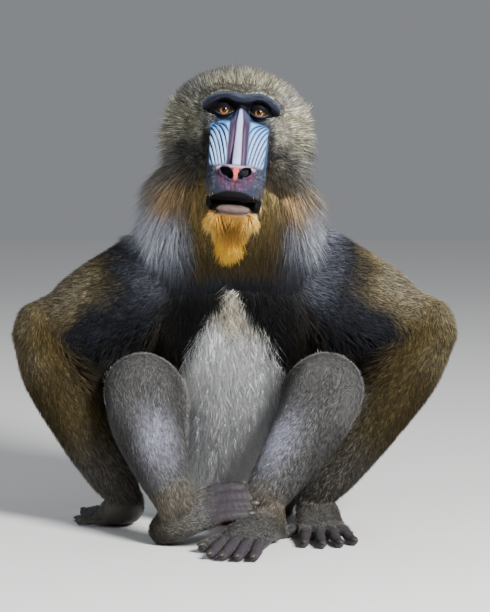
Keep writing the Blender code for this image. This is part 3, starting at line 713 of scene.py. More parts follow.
@dataclass
class Skull:
    """The head under the fur: cranium, mask, muzzle, lips, jaw and ears, in the head's own frame."""

    cranium: Row = (-3, -27, -84)
    cranium_half: Row = (84, 67, 75)
    brow: Row = (0, -12, -28)
    brow_half: Row = (50, 30, 31)
    jowl: Row = (40, -72, -50)
    jowl_half: Row = (36, 40, 46)
    ear: Row = (82, -15, -78)
    ear_half: Row = (8.5, 19, 14)

    def middle(self) -> list[Shell]:
        """Return cranium, brow, muzzle, lips and jaw, in the head's frame.

        Returns:
            The shells.
        """
        muzzle = [(0, -46, -18, 41, 52), (0, -63, 14, 38.5, 44), (0, -82, 42, 38, 35), (0, -93, 59, 36.5, 27)]
        bridge = [(0, 4, -3, 8, 8), (0, -20, 19, 7, 7), (0, -44, 45, 7, 8), (0, -66, 71, 8, 9)]
        brow_ridge = [(-47, 3, -13, 7.5, 7), (-28, 13.5, -1, 7.5, 7.5), (0, 15, 3, 7.5, 8),
                      (28, 13.5, -1, 7.5, 7.5), (47, 3, -13, 7.5, 7)]
        upper_lip = [(-27, -97, 50, 17, 11), (-20, -97, 64, 17, 13), (0, -97, 70, 17, 14),
                     (20, -97, 64, 17, 13), (27, -97, 50, 17, 11)]
        jaw = [(0, -114, -30, 38, 22), (0, -126, 4, 34, 18), (0, -133, 38, 29, 12), (0, -133, 56, 23, 8)]
        beard_core = [(0, -130, 20, 29, 24), (0, -148, 26, 22, 18), (0, -160, 30, 13, 11)]
        return [
            ellipsoid(self.cranium, self.cranium_half, 60, 40),
            ellipsoid(self.brow, self.brow_half),
            ellipsoid((0, 9, -13), (46, 9, 13)),  # the bone over the eyes
            loft(muzzle, sides=40),
            loft(bridge),
            loft(brow_ridge, (0, 1, 0)),
            ellipsoid((0, -78, 76), (23, 13, 13)),  # the nose
            ellipsoid((0, -92, 66), (35, 20, 18)),  # its pads
            loft(upper_lip, (0, 1, 0)),
            loft(jaw),
            ellipsoid((0, 12, -28), (50, 16, 30)),  # the forehead
            ellipsoid((0, -124, 60), (22, 6, 10)),  # the lower lip
            ellipsoid((-28, -117, 20), (8, 13, 26)),  # the corners of the mouth
            ellipsoid((28, -117, 20), (8, 13, 26)),
            loft(beard_core),
        ]

    def pair(self, sign: float) -> list[Shell]:
        """Return cheek, jowl, swelling and ear of one side, in the head's frame.

        Args:
            sign: The side's sign.

        Returns:
            The shells.
        """
        swelling = [(sign * 24, -20, 2, 9, 7), (sign * 27, -38, 20, 11, 10), (sign * 26.5, -60, 46, 10.5, 10),
                    (sign * 24, -74, 61, 8.5, 8)]
        return [
            ellipsoid((sign * 38, -36, -30), (24, 32, 32)),
            ellipsoid((sign * self.jowl[0], *self.jowl[1:]), self.jowl_half),
            loft(swelling),
            ellipsoid((self.cranium[0] + sign * self.ear[0], *self.ear[1:]), self.ear_half),
        ]

    def shells(self) -> list[Shell]:
        """Return the shells of the head, placed on the body."""
        parts = self.middle() + [shell for sign in SIDES.values() for shell in self.pair(sign)]
        return [part.moved(HEAD) for part in parts]


# The colours, as linear light


class Tone(Enum):
    """The colours of the coat."""

    OLIVE = (0.095, 0.068, 0.021)
    OLIVE_DARK = (0.034, 0.027, 0.013)
    # pale olive, laid as the painted highlight on top of the arms and over the elbows
    OLIVE_HIGHLIGHT = (0.20, 0.18, 0.13)
    CHARCOAL = (0.008, 0.0095, 0.014)
    BLACK = (0.004, 0.004, 0.005)
    SILVER = (0.48, 0.51, 0.60)
    SLATE = (0.036, 0.041, 0.058)
    STRAW = (0.47, 0.41, 0.26)
    WHITE = (0.92, 0.95, 1.0)
    LEG = (0.108, 0.107, 0.106)
    LEG_DARK = (0.04, 0.038, 0.036)
    # painted light: the pale sheen highlight down the front of each shin
    PAINTED_SHEEN = (0.52, 0.54, 0.69)
    GOLD = (0.36, 0.25, 0.085)
    CROWN = (0.245, 0.24, 0.21)
    CROWN_YELLOW = (0.32, 0.30, 0.20)
    CHEEK_DARK = (0.028, 0.029, 0.031)
    CHEEK_GREY = (0.15, 0.155, 0.16)
    CREAM = (0.50, 0.39, 0.17)
    RUST = (0.55, 0.34, 0.12)
    BEARD = (1.0, 0.44, 0.035)
    BEARD_PALE = (0.74, 0.50, 0.14)
    # painted shade under the beard, the lower lip and the jaw
    SHADE_UNDER_BEARD = (0.085, 0.06, 0.02)
    BACK = (0.085, 0.07, 0.045)
    PAW = (0.10, 0.098, 0.094)
    PALM = (0.06, 0.054, 0.062)
    RUMP = (0.26, 0.11, 0.21)
    RED = (0.36, 0.08, 0.05)
    NAIL = (0.032, 0.027, 0.025)


class FaceTone(Enum):
    """The colours of the bare face and the ears."""

    SKIN = (0.018, 0.022, 0.036)
    BESIDE_NOSE = (0.06, 0.09, 0.17)
    BESIDE_SWELLING = (0.035, 0.07, 0.15)
    LIP_SKIN = (0.028, 0.032, 0.052)
    LIP_HAIR = (0.14, 0.155, 0.20)
    STRIP = (0.042, 0.03, 0.052)
    FURROW = (0.045, 0.018, 0.04)
    OUTER_FURROW = (0.06, 0.03, 0.07)
    FOLD = (0.17, 0.12, 0.20)
    BRIDGE = (0.42, 0.46, 0.72)
    BLUE = (0.16, 0.38, 0.80)
    BLUE_PALE = (0.40, 0.56, 0.86)
    GROOVE = (0.008, 0.016, 0.045)
    PAD = (0.055, 0.024, 0.046)
    PAD_BLUE = (0.032, 0.03, 0.06)
    # painted highlights on the wrinkles of the nose pad
    PAD_HIGHLIGHT = (0.13, 0.085, 0.135)
    RIM = (0.42, 0.30, 0.40)
    SEPTUM = (0.50, 0.10, 0.07)
    LIP_SPLIT = (0.05, 0.02, 0.03)
    # painted shade: the black inside of each nostril
    NOSTRIL = (0.003, 0.003, 0.004)
    # the black skin round the eyes, which below them also holds painted shade
    BAND = (0.005, 0.005, 0.007)
    BROW = (0.012, 0.014, 0.022)
    # the blue-grey top of the brow ridge: painted top light over its dark skin
    BROW_TOP_LIGHT = (0.045, 0.056, 0.088)
    # the black lips, with painted shade in the open mouth between them
    MOUTH = (0.005, 0.005, 0.006)
    LIP = (0.125, 0.085, 0.075)
    # painted highlight along the wet edge of each lower lid
    LID_HIGHLIGHT = (0.22, 0.25, 0.30)
    EAR = (0.13, 0.10, 0.10)
    EAR_CUP = (0.05, 0.035, 0.035)


class EyeTone(Enum):
    """The colours of the eyeballs."""

    IRIS = (0.20, 0.065, 0.008)
    AMBER = (0.46, 0.185, 0.02)
    IRIS_RIM = (0.05, 0.018, 0.004)
    LID_SHADE = (0.012, 0.006, 0.003)
    PUPIL = (0.002, 0.002, 0.002)
    BALL = (0.018, 0.010, 0.008)


def filled(count: int, tone: Enum) -> Array:
    """Return one row of the tone for each of so many points."""
    return np.tile(tone.value, (count, 1))


def layered(colour: Array, *layers: tuple[Enum | Array, Array]) -> Array:
    """Lay tones over colours, one after another.

    Args:
        colour: The colours underneath.
        layers: Each tone, or a row of colour for each point, and how much of it shows.

    Returns:
        The colours.
    """
    for tone, share in layers:
        colour = mix(colour, tone.value if isinstance(tone, Enum) else tone, share)
    return colour


# The face: its relief and its colours share the same lines


@dataclass
class Face:
    """Lines of the face in the head's frame: across u, height w, forward d, and height q as seen."""

    view_slope: float = 0.034  # how much a millimetre forward lowers a point to the viewer
    middle: float = -1.0
    ridge_top: float = -12.5
    ridge_height: float = 56.0
    ridge_inner: float = 13.8
    ridge_outer: float = 37.6
    ridge_taper: float = 3.8
    groove_width: float = 1.0
    ridge_rise: float = 2.4
    groove_depth: float = 2.9
    nostril_depth: float = 11.0
    mouth_depth: float = 9.0
    ear_depth: float = 6.0
    socket: float = 13.1  # the radius of the skin round an eyeball
    lid_half: float = 11.0
    lid_rise: float = 3.9
    lid_drop: float = 0.5  # how much lower the lower lid runs than the upper one rises
    ear: Row = (79, -15, -78, 19, 14)
    band_knots: Row = (0, 5, 12, 19, 25, 31, 37, 44, 50, 56)
    band_low: Row = (3.5, 2.0, -5.0, -9.0, -9.3, -8.5, -7.5, -4.5, -2.0, -2.5)
    band_high: Row = (15.6, 16.2, 17.8, 19.0, 18.8, 17.0, 14.5, 9.5, 4.0, 0.0)
    edge_knots: Row = (-126, -115, -99, -85, -70, -50, -25, -8, 2)
    edge: Row = (35, 37, 40, 38.5, 35.5, 36, 38, 40.5, 45)

    def lines(self, head: Array) -> dict[str, Array]:
        """Work out the shared lines and masks of the face.

        Args:
            head: Places in the head's frame.

        Returns:
            Masks from 0 to 1 by name, and the coordinates u, w, d, q and the distance a from the midline.
        """
        u, w, d = head.T
        q = w - self.view_slope * d
        a = np.abs(u - self.middle)
        front = ease(48.0, 62.0, d)
        m = {"u": u, "w": w, "d": d, "q": q, "a": a, "front": front}
        m |= self.ridges(a, q, d) | self.brows(a, q, d) | self.nose(u, a, q, front) | self.mouth(a, q, d)
        low = m["band_foot"]
        edge = np.interp(q, self.edge_knots, self.edge)
        wall = np.maximum(ease(edge + 2.0, edge - 1.5, a), ease(4.0, 12.0, d))
        muzzle = wall * (1 - ease(low + 1.0, low + 5.0, q)) * ease(-122.0, -118.5, q)
        muzzle = muzzle * ease(-16.0, -4.0, d - 20 * ease(-80, -110, q))
        side = muzzle * ease(23.0, 28.0, a) * ease(-72.0, -79.0, q) * ease(-109.0, -103.0, q)
        x, y, z, tall, deep = self.ear
        ear = ease(x - 1, x + 2, np.abs(u + 3)) * ease(1.05, 0.92, np.hypot((w - y) / tall, (d - z) / deep))
        cup = ear * ease(0.8, 0.45, np.hypot((w + 14) / 16, (d + 75) / 11))
        open_skin = [muzzle, m["band"], m["brow"], m["lip"], m["gap"], m["mouth"], ear]
        bare = np.clip(np.maximum.reduce(open_skin), 0, 1)
        return m | {"muzzle": muzzle, "side": side, "ear": ear, "cup": cup, "bare": bare}

    def ridges(self, a: Array, q: Array, d: Array) -> dict[str, Array]:
        """Work out the swellings with their grooves, and the bridge between them.

        The ridges' phase is 1.9 s - 0.14 / s + 4.8 t s^0.25, where s runs from 0 to 1 down the
        swelling and t from 0 to 1 out from its inner edge; a groove lies at each whole number, so
        the grooves leave the outer edge level and sweep down towards the nostrils. The distance to
        the nearest one is the phase's distance over the phase's slope.

        Args:
            a: Distance from the midline.
            q: Height as seen.
            d: How far forward.

        Returns:
            The masks and lines by name.
        """
        down = (self.ridge_top - q) / self.ridge_height
        s = np.clip(down, 0.03, 1.2)
        inner = self.ridge_inner
        outer = self.ridge_outer - self.ridge_taper * s
        share = (a - inner) / (outer - inner)
        phase = 1.9 * s - 0.14 / np.maximum(s, 0.045) + 4.8 * s**0.25 * share
        slope_a = 4.8 * s**0.25 / (outer - inner)
        slope_s = (1.9 + 0.14 / np.maximum(s, 0.045) ** 2 + 1.2 * s**-0.75 * share) / self.ridge_height
        nearest = np.abs(phase - np.round(phase)) / np.sqrt(slope_a**2 + slope_s**2)
        groove = np.exp(-((nearest / self.groove_width) ** 2)) * (phase > -0.6) * (phase < 6.5)
        swelling = ease(-0.08, 0.05, share) * (1 - ease(0.97, 1.08, share)) * ease(-22.0, -10.0, d)
        swelling = swelling * ease(-0.02, 0.06, down - 0.12 * share**2)
        swelling = swelling * (1 - ease(0.93, 1.06, down - 0.05 * share))
        bridge_half = 1.9 + 1.6 * ease(2, -16, q) + 1.4 * ease(-20, -65, q)
        strip = ease(9.0, 3.0, q) * (1 - ease(-67, -71, q)) * (1 - ease(inner - 2.0, inner + 0.8, a))
        strip = strip * ease(-30, -14, d)
        bridge = ease(bridge_half + 1.3, bridge_half - 0.7, a) * strip
        return {"s": s, "groove": groove * swelling, "swelling": swelling, "bridge": bridge, "strip": strip,
                "bridge_half": bridge_half}

    def brows(self, a: Array, q: Array, d: Array) -> dict[str, Array]:
        """Work out the black band across the eyes and the ridge over it.

        Args:
            a: Distance from the midline.
            q: Height as seen.
            d: How far forward.

        Returns:
            The masks and lines by name.
        """
        low = np.interp(a, self.band_knots, self.band_low)
        high = np.interp(a, self.band_knots, self.band_high)
        upper = (1 - ease(49.0, 55.0, a)) * ease(-52.0, -34.0, d)
        band = ease(low - 3.0, low + 1.5, q) * (1 - ease(high - 2.5, high + 1.0, q)) * upper
        brow = ease(high - 6.0, high - 3.5, q) * (1 - ease(high + 5.5, high + 7.5, q)) * upper
        return {"band": band, "band_foot": low, "brow": brow, "brow_rise": q - high}

    def nose(self, u: Array, a: Array, q: Array, front: Array) -> dict[str, Array]:
        """Work out the nostrils, their pads and rim and the septum between them.

        Args:
            u: Distance across.
            a: Distance from the midline.
            q: Height as seen.
            front: A mask of the muzzle's front.

        Returns:
            The masks by name.
        """
        pad_half = 25.0 - 10.0 * ease(-84, -103, q)
        pad = ease(pad_half + 2.5, pad_half - 2.0, a) * ease(-104.5, -100.5, q) * (1 - ease(-73.5, -69.0, q))
        septum = ease(4.0, 2.6, np.abs(u + 0.8) + 2.2 * ease(-80, -91, q)) * ease(-93, -87, q)
        rim = hump(q, -71.4 - 3.4 * ease(15, 25, a), 1.6) * ease(26.5, 23.0, a)
        return {"pad": pad * front, "rim": rim * front, "nostril": self.nostril(a, q) * front,
                "septum": septum * (1 - ease(-74, -71, q)) * front}

    @staticmethod
    def mouth(a: Array, q: Array, d: Array) -> dict[str, Array]:
        """Work out the dark mouth, the lower lip and the gap round it that no hair crosses.

        Args:
            a: Distance from the midline.
            q: Height as seen.
            d: How far forward.

        Returns:
            The masks by name.
        """
        high = -103.0 - 10.0 * ease(6, 38, a)
        low = -120.5 - 9.0 * ease(18, 24, a)
        sides = ease(-34.0, -18.0, d)
        mouth = ease(low - 1.5, low + 1.0, q) * (1 - ease(high - 1.0, high + 1.5, q))
        mouth = mouth * (1 - ease(35.5, 38.5, a)) * sides
        lip = ease(26.0, 20.0, a) * ease(-135.5, -132.5, q) * (1 - ease(-121.5, -119.5, q))
        gap = ease(38.0, 36.0, a) * ease(-131.5, -129.5, q) * (1 - ease(-116.0, -113.0, q)) * sides
        return {"mouth": mouth, "lip": lip * ease(10.0, 24.0, d), "gap": gap}

    @staticmethod
    def nostril(a: Array, q: Array) -> Array:
        """Mark the nostril: a wide oval and a narrow one by the septum, cut level at the top.

        Args:
            a: Distance from the midline.
            q: Height as seen.

        Returns:
            1 inside the nostril, falling to 0 round its edge.
        """
        long = (a - 12.4) * 0.88 + (q + 78.2) * 0.47
        short = (q + 78.2) * 0.88 - (a - 12.4) * 0.47
        wide = 1 - np.hypot(long / 7.6, short / 5.7)
        narrow = 1 - np.hypot((a - 6.6) / 3.9, (q + 82.6) / 4.6)
        return ease(-0.12, 0.12, np.minimum(np.maximum(wide, narrow), (-72.6 - q) * 0.2))

    def sculpt(self, points: Array, normals: Array) -> Array:
        """Raise and sink the skin of the face.

        Along the normal: ridges between grooves, the bridge and its furrows, the rim of the nose,
        the split of the upper lip and the wrinkles of the pads. Straight back: nostrils and mouth.
        Round each eye the skin is a sphere a lid's thickness outside the eyeball, with an almond
        opening where it drops behind the eyeball's surface.

        Args:
            points: Places on the body.
            normals: The normals there.

        Returns:
            The moved places.
        """
        head = HEAD.to_head(points)
        out = unit(HEAD.to_head(points + normals) - head)
        m = self.lines(head)
        a, q, half = m["a"], m["q"], m["bridge_half"]
        furrows = (1.3 * hump(a, half + 2.2, 1.3), 0.8 * hump(a, half + 5.6, 1.0),
                   0.6 * hump(a, half + 8.6, 0.9))
        rise = m["swelling"] * self.ridge_rise - m["groove"] * self.groove_depth
        rise += m["strip"] * (m["bridge"] * 1.6 - furrows[0] - furrows[1] - furrows[2])
        rise += m["rim"] * 1.3 + m["brow"] * 1.2 - m["band"] * 0.8
        rise -= 1.5 * hump(m["u"], -0.8, 1.2) * ease(-86, -90, q) * ease(-104, -100, q) * m["front"]
        rise += (0.45 * ripple(head * (1.0, 1.6, 1.0), 5.0, 3) * m["pad"]
                 + 0.35 * ripple(head, 4.0, 4) * m["side"])
        rise += 0.3 * ripple(head * (0.5, 1.6, 1.0), 4.5, 5) * (m["lip"] + m["brow"])
        head = head + out * rise[:, None]
        opening = m["mouth"] * ease(-110, -113, q) * ease(29, 22, a) * (1 - ease(-119, -122, q))
        head[:, 2] -= m["nostril"] * self.nostril_depth + opening * self.mouth_depth
        head[:, 0] -= np.sign(head[:, 0]) * m["cup"] * self.ear_depth
        return HEAD.to_body(self.lids(head))

    @staticmethod
    def from_eye(head: Array, sign: float) -> tuple[Array, Array]:
        """Return how far across and up each place lies from an eye."""
        across = head[:, 0] - sign * EYE_ACROSS
        return across, head[:, 1] + EYE_TILT * across * sign

    def lids(self, head: Array) -> Array:
        """Shape the lids over each eyeball and the hollow between them.

        Args:
            head: Places in the head's frame.

        Returns:
            The places, with their forward coordinate changed round the eyes.
        """
        for sign in SIDES.values():
            across, up = self.from_eye(head, sign)
            reach = np.hypot(across, up)
            near = ease(17.0, 12.0, reach) * (head[:, 2] > -34)
            ball = EYE_BACK + np.sqrt(np.maximum(self.socket**2 - reach**2, 9.0))
            fold = (-1.1 * hump(up, 7.4 - 0.03 * across**2, 1.0)
                    + 0.7 * hump(up, -6.2 + 0.028 * across**2, 0.9))
            fold = fold - 0.7 * hump(up, -9.0 + 0.03 * across**2, 0.8)
            curve = np.maximum(1.0 - (across / self.lid_half) ** 2, 0.0)
            opening = np.minimum(self.lid_rise * curve**0.75 - up,
                                 up + (self.lid_rise + self.lid_drop) * curve)
            hollow = ease(-0.5, 0.9, opening) * (curve > 0)
            head[:, 2] = head[:, 2] * (1 - near) + (ball + fold - hollow * 4.5) * near
        return head

    def paint(self, points: Array, fur: Array) -> Array:
        """Colour the bare skin of the face and the ears.

        Args:
            points: Places on the body.
            fur: The colours of the coat there.

        Returns:
            The colours.
        """
        head = HEAD.to_head(points)
        m = self.lines(head)
        u, a, q, s, strip, half = (m[name] for name in ("u", "a", "q", "s", "strip", "bridge_half"))
        wave, fine = ripple(head, 9.0, 12), ripple(head, 3.2, 13)
        faint, spots = 0.8 + 0.2 * wave, 0.8 + 0.2 * fine
        pale_hair = np.clip(0.30 + 0.55 * ripple(head * (1, 2.4, 1), 3.4, 14), 0, 1)
        blue = mix(filled(len(points), FaceTone.BLUE), FaceTone.BLUE_PALE.value,
                   ease(0.08, 0.5, s) * (0.85 + 0.15 * wave))
        colour = layered(
            filled(len(points), FaceTone.SKIN),
            (FaceTone.BESIDE_NOSE, ease(17, 10, a) * ease(-26, -12, q) * spots),
            (FaceTone.BESIDE_SWELLING, ease(33, 36, a) * ease(-8, -20, q) * ease(8, 20, m["d"]) * faint),
            (FaceTone.LIP_SKIN, m["muzzle"] * ease(-62, -76, q) * faint),
            (FaceTone.LIP_HAIR, m["side"] * pale_hair * 0.5),
            (FaceTone.STRIP, strip * ease(-6, -20, q)),
            (FaceTone.FURROW, strip * hump(a, half + 1.9, 1.2) * spots),
            (FaceTone.OUTER_FURROW, strip * hump(a, half + 5.2, 0.8) * ease(-66, -52, q) * 0.85),
            (FaceTone.FOLD, strip * hump(a, half + 3.6, 0.9) * 0.6 * ease(-14, -30, q)),
            (FaceTone.BRIDGE, m["bridge"] * (0.95 - 0.45 * ease(-4, 5, q))),
            (blue, m["swelling"]),
            (FaceTone.GROOVE, np.clip(m["groove"] * 1.2, 0, 1)),
            (FaceTone.PAD, m["pad"] * 0.95),
            (FaceTone.PAD_BLUE, m["pad"] * np.clip(0.45 + 0.8 * wave, 0, 1) * 0.75),
            # pale flecks on the nose pad: painted highlights on its wrinkles
            (FaceTone.PAD_HIGHLIGHT, m["pad"] * np.clip(1.6 * fine - 0.5, 0, 1) * 0.5),
            (FaceTone.RIM, np.clip(m["rim"], 0, 1) * 0.9),
            (FaceTone.SEPTUM, m["septum"]),
            (FaceTone.LIP_SPLIT, hump(u, -0.8, 1.1) * ease(-88, -91, q) * ease(-105, -102, q) * m["front"]),
            # painted shade inside the nostrils
            (FaceTone.NOSTRIL, np.clip(m["nostril"] * 1.25, 0, 1)),
            # the black band: dark skin round the eyes, with painted shade below them
            (FaceTone.BAND, m["band"]),
            (FaceTone.BROW, m["brow"]),
            # painted top light: the top of the brow ridge lighter than its dark lower side
            (FaceTone.BROW_TOP_LIGHT, m["brow"] * (ease(0.5, 4.0, m["brow_rise"]) * (0.75 + 0.25 * fine))),
            # the mouth: black lips and painted shade in its opening
            (FaceTone.MOUTH, m["mouth"]),
            (FaceTone.LIP, m["lip"] * (0.85 + 0.15 * fine)),
            # painted highlight on the lower lids' edges
            (FaceTone.LID_HIGHLIGHT, self.lid_highlight(head) * 0.3),
            (FaceTone.EAR, m["ear"]),
            (FaceTone.EAR_CUP, m["cup"]),
        )
        return mix(fur, colour, m["bare"])

    def lid_highlight(self, head: Array) -> Array:
        """Mark the painted highlight along the wet edge of each lower lid.

        Args:
            head: Places in the head's frame.

        Returns:
            A mask from 0 to 1.
        """
        mask = np.zeros(len(head))
        for sign in SIDES.values():
            across, up = self.from_eye(head, sign)
            curve = np.maximum(1.0 - (across / (self.lid_half + 1.5)) ** 2, 0.0)
            line = hump(up, -(self.lid_rise + self.lid_drop) * curve - 0.7, 0.45)
            mask = np.maximum(mask, line * (curve > 0.02) * (head[:, 2] > -12))
        return mask


# The coat: what each region of the body wears


@dataclass
class Growth:
    """How the hair grows at each of a set of points, in millimetres and degrees."""

    lie: Array
    length: Array
    lift: Array
    width: Array
    colour: Array
    speckle: Array
    droop: Array

    @staticmethod
    def even(count: int, lie: Row, length: float, lift: float, width: float, tone: Row,
             speckle: float) -> "Growth":
        """Make one growth that is the same at every point, with no droop.

        Args:
            count: How many points.
            lie: The way the hair lies.
            length: How long it is.
            lift: How far it stands up from the skin.
            width: How wide a tuft is.
            tone: Its colour.
            speckle: How much the colour differs from tuft to tuft.

        Returns:
            The growth.
        """
        full = np.ones(count)
        return Growth(np.tile(np.array(lie, float), (count, 1)), full * length, full * lift, full * width,
                      np.tile(np.array(tone, float), (count, 1)), full * speckle, full * 0)

    def fringe(self, where: Array, longer: float) -> None:
        """Let longer and looser hair grow in a place.

        Args:
            where: A mask of the place.
            longer: How much longer the hair is there.
        """
        self.length += longer * where
        self.lift += 30 * where
        self.width += 0.5 * where


@dataclass
class Region:
    """A part of the body that wears one kind of coat."""

    name: str
    piece: str

    def gap(self, points: Array) -> Array:
        """Return the distance of each point from the region's surface."""
        raise NotImplementedError

    def growth(self, points: Array) -> Growth:
        """Return how the hair grows at the points."""
        raise NotImplementedError

    def unwrap(self, points: Array) -> Array:
        """Return where each point lies on an unwrap of the region's surface, from 0 to 1 both ways."""
        raise NotImplementedError


@dataclass
class Bone(Region):
    """A limb's length: a cone about the line between two joints."""

    start: Row = (0, 0, 0)
    end: Row = (0, 0, 1)
    radii: tuple[float, float] = (30, 30)
    length: float = 14
    lift: float = 24
    width: float = 2.0
    tone: Tone = Tone.OLIVE
    speckle: float = 0.38
    band: tuple[float, float] = (0, 1)

    @property
    def line(self) -> Array:
        """Return the way from the start to the end."""
        return np.array(self.end, float) - np.array(self.start, float)

    def measure(self, points: Array) -> tuple[Array, Array]:
        """Measure the points against the bone.

        Args:
            points: Places on the body.

        Returns:
            Their share along the bone, and their distance from its line.
        """
        off, line = points - np.array(self.start, float), self.line
        share = np.clip(off @ line / (line @ line), 0, 1)
        return share, np.linalg.norm(off - share[:, None] * line, axis=1)

    def outward(self, points: Array) -> tuple[Array, Array]:
        """Return the share along the bone, and how far to its outer side each point lies."""
        share, _ = self.measure(points)
        return share, np.sign(self.start[0]) * (points[:, 0] - (self.start[0] + share * self.line[0]))

    def gap(self, points: Array) -> Array:
        """Return the distance of each point from the cone."""
        share, off = self.measure(points)
        return off - (self.radii[0] + (self.radii[1] - self.radii[0]) * share)

    def growth(self, points: Array) -> Growth:
        """Return short hair that lies along the bone.

        Args:
            points: Places on the body.

        Returns:
            The growth.
        """
        grown = Growth.even(len(points), tuple(unit(self.line)), self.length, self.lift, self.width,
                            self.tone.value, self.speckle)
        grown.colour = self.marked(points, grown.colour)
        return grown

    def marked(self, points: Array, colour: Array) -> Array:
        """Return the colours with this limb's markings."""
        return colour

    def unwrap(self, points: Array) -> Array:
        """Return the turn about the bone and the share along it.

        Args:
            points: Places on the body.

        Returns:
            Rows of two shares.
        """
        share, _ = self.measure(points)
        line = unit(self.line)
        first = unit(np.cross(line, (0.3, 0.9, 0.2)))
        off = points - np.array(self.start, float)
        turn = np.arctan2(off @ np.cross(line, first), off @ first) / (2 * np.pi) + 0.5
        low, high = self.band
        return np.stack([turn, low + (high - low) * share], axis=1)


@dataclass
class UpperArm(Bone):
    """Olive outside and at the elbow with a painted highlight on top, charcoal towards the chest, with a dark
    fringe underneath; the charcoal and the fringe are dark hair and painted shade.
    """

    def growth(self, points: Array) -> Growth:
        """Return short hair along the bone that hangs longer under the arm.

        Args:
            points: Places on the body.

        Returns:
            The growth.
        """
        grown = super().growth(points)
        share, _ = self.measure(points)
        level = self.start[2] + (self.end[2] - self.start[2]) * share
        under = ease(-22, -46, points[:, 2] - level) * ease(0.02, 0.2, share) * ease(0.88, 0.6, share)
        grown.fringe(under, 34)
        # black under the arm: dark hanging hair, darkened further as painted shade under the arm
        grown.colour = layered(grown.colour, (Tone.BLACK, 0.8 * under))
        return grown

    def marked(self, points: Array, colour: Array) -> Array:
        """Return charcoal near the trunk, dark hair with painted shade, olive beyond a wavy border and a pale
        painted highlight on top of the elbow.

        Args:
            points: Places on the body.
            colour: The colours without the markings.

        Returns:
            The colours.
        """
        x, y, z = points.T
        reach = np.abs(x) + 9 * ripple(points, 34, 21)
        # top marks the arm's upper side; the lighter tones laid with it are painted top light
        top = ease(292, 352, z + 0.16 * reach)
        border = 211 - 46 * top + 20 * ease(40, -60, y) * (1 - top)
        colour = layered(
            colour,
            # pale olive on top towards the elbow: a painted top highlight
            (Tone.OLIVE_HIGHLIGHT, 0.75 * top * ease(140, 220, reach)),
            (Tone.OLIVE_DARK, 0.6 * ease(258, 212, z)),
        )
        # charcoal near the trunk: dark hair that also stands for painted shade between arm and chest
        dark = layered(
            filled(len(points), Tone.CHARCOAL),
            (Tone.SLATE, top * 0.8 * ease(165, 105, reach)),
            (Tone.SLATE, 0.4 * hump(z, 268, 14) * ease(0.0, 0.8, ripple(points, 30, 22))),
            (Tone.LEG, 0.15 * top * ease(120, 160, reach)),
            (Tone.SILVER, 0.1 * top * ease(150, 100, reach)),
        )
        return mix(dark, colour, ease(border - 24, border + 24, reach))


@dataclass
class Forearm(Bone):
    """Olive-brown agouti, darker down the outer edge, with a painted highlight at the elbow and a dark fringe
    inside the elbow, dark hair and painted shade.
    """

    def growth(self, points: Array) -> Growth:
        """Return short hair along the bone that is longer inside the elbow.

        Args:
            points: Places on the body.

        Returns:
            The growth.
        """
        grown = super().growth(points)
        share, outward = self.outward(points)
        grown.fringe(ease(-8, -26, outward) * ease(0.5, 0.3, share) * ease(0.0, 0.1, share), 24)
        return grown

    def marked(self, points: Array, colour: Array) -> Array:
        """Return olive that darkens below the elbow, with a painted highlight on its outer side, and black
        inside it, dark hair and painted shade in the crook.

        Args:
            points: Places on the body.
            colour: The colours without the markings.

        Returns:
            The colours.
        """
        share, outward = self.outward(points)
        return layered(
            colour,
            (Tone.OLIVE_DARK, 0.45 * ease(0.06, 0.3, share)),
            (Tone.OLIVE_DARK, 0.5 * ease(14, 38, outward) * ease(0.05, 0.3, share)),
            (Tone.LEG, 0.65 * ease(0.5, 0.85, share)),
            # pale olive at the elbow's outer side: a painted highlight
            (Tone.OLIVE_HIGHLIGHT, 0.45 * ease(0.3, 0.05, share) * ease(-6, 24, outward)),
            # black inside the elbow: dark hair, and painted shade in the crook
            (Tone.BLACK, 0.9 * ease(-8, -30, outward) * ease(0.6, 0.2, share)),
        )


@dataclass
class LowerLeg(Bone):
    """Grey, with a painted sheen highlight down the shin and a faint golden fringe at the ankle."""

    patch: Row = (0, 0, 0)  # the middle of the painted sheen highlight

    def marked(self, points: Array, colour: Array) -> Array:
        """Return the grey with the painted sheen highlight, the fringe and dark edges.

        Args:
            points: Places on the body.
            colour: The colours without the markings.

        Returns:
            The colours.
        """
        share, outward = self.outward(points)
        off = points - np.array(self.patch, float)
        line = unit(self.line)
        ahead = off @ line
        aside = np.linalg.norm(off - ahead[:, None] * line, axis=1)
        return layered(
            colour,
            (Tone.LEG_DARK, 0.6 * ease(-12, -38, -outward) * ease(0.1, 0.4, share)),
            (Tone.LEG_DARK, 0.7 * ease(22, 44, -outward) * ease(0.95, 0.4, share)),
            # painted sheen: a pale highlight down the shin where the light falls
            (Tone.PAINTED_SHEEN, 0.9 * (hump(ahead, 0, 40) * hump(aside, 0, 19))),
            (Tone.GOLD, 0.14 * ease(0.86, 1.0, share)),
        )


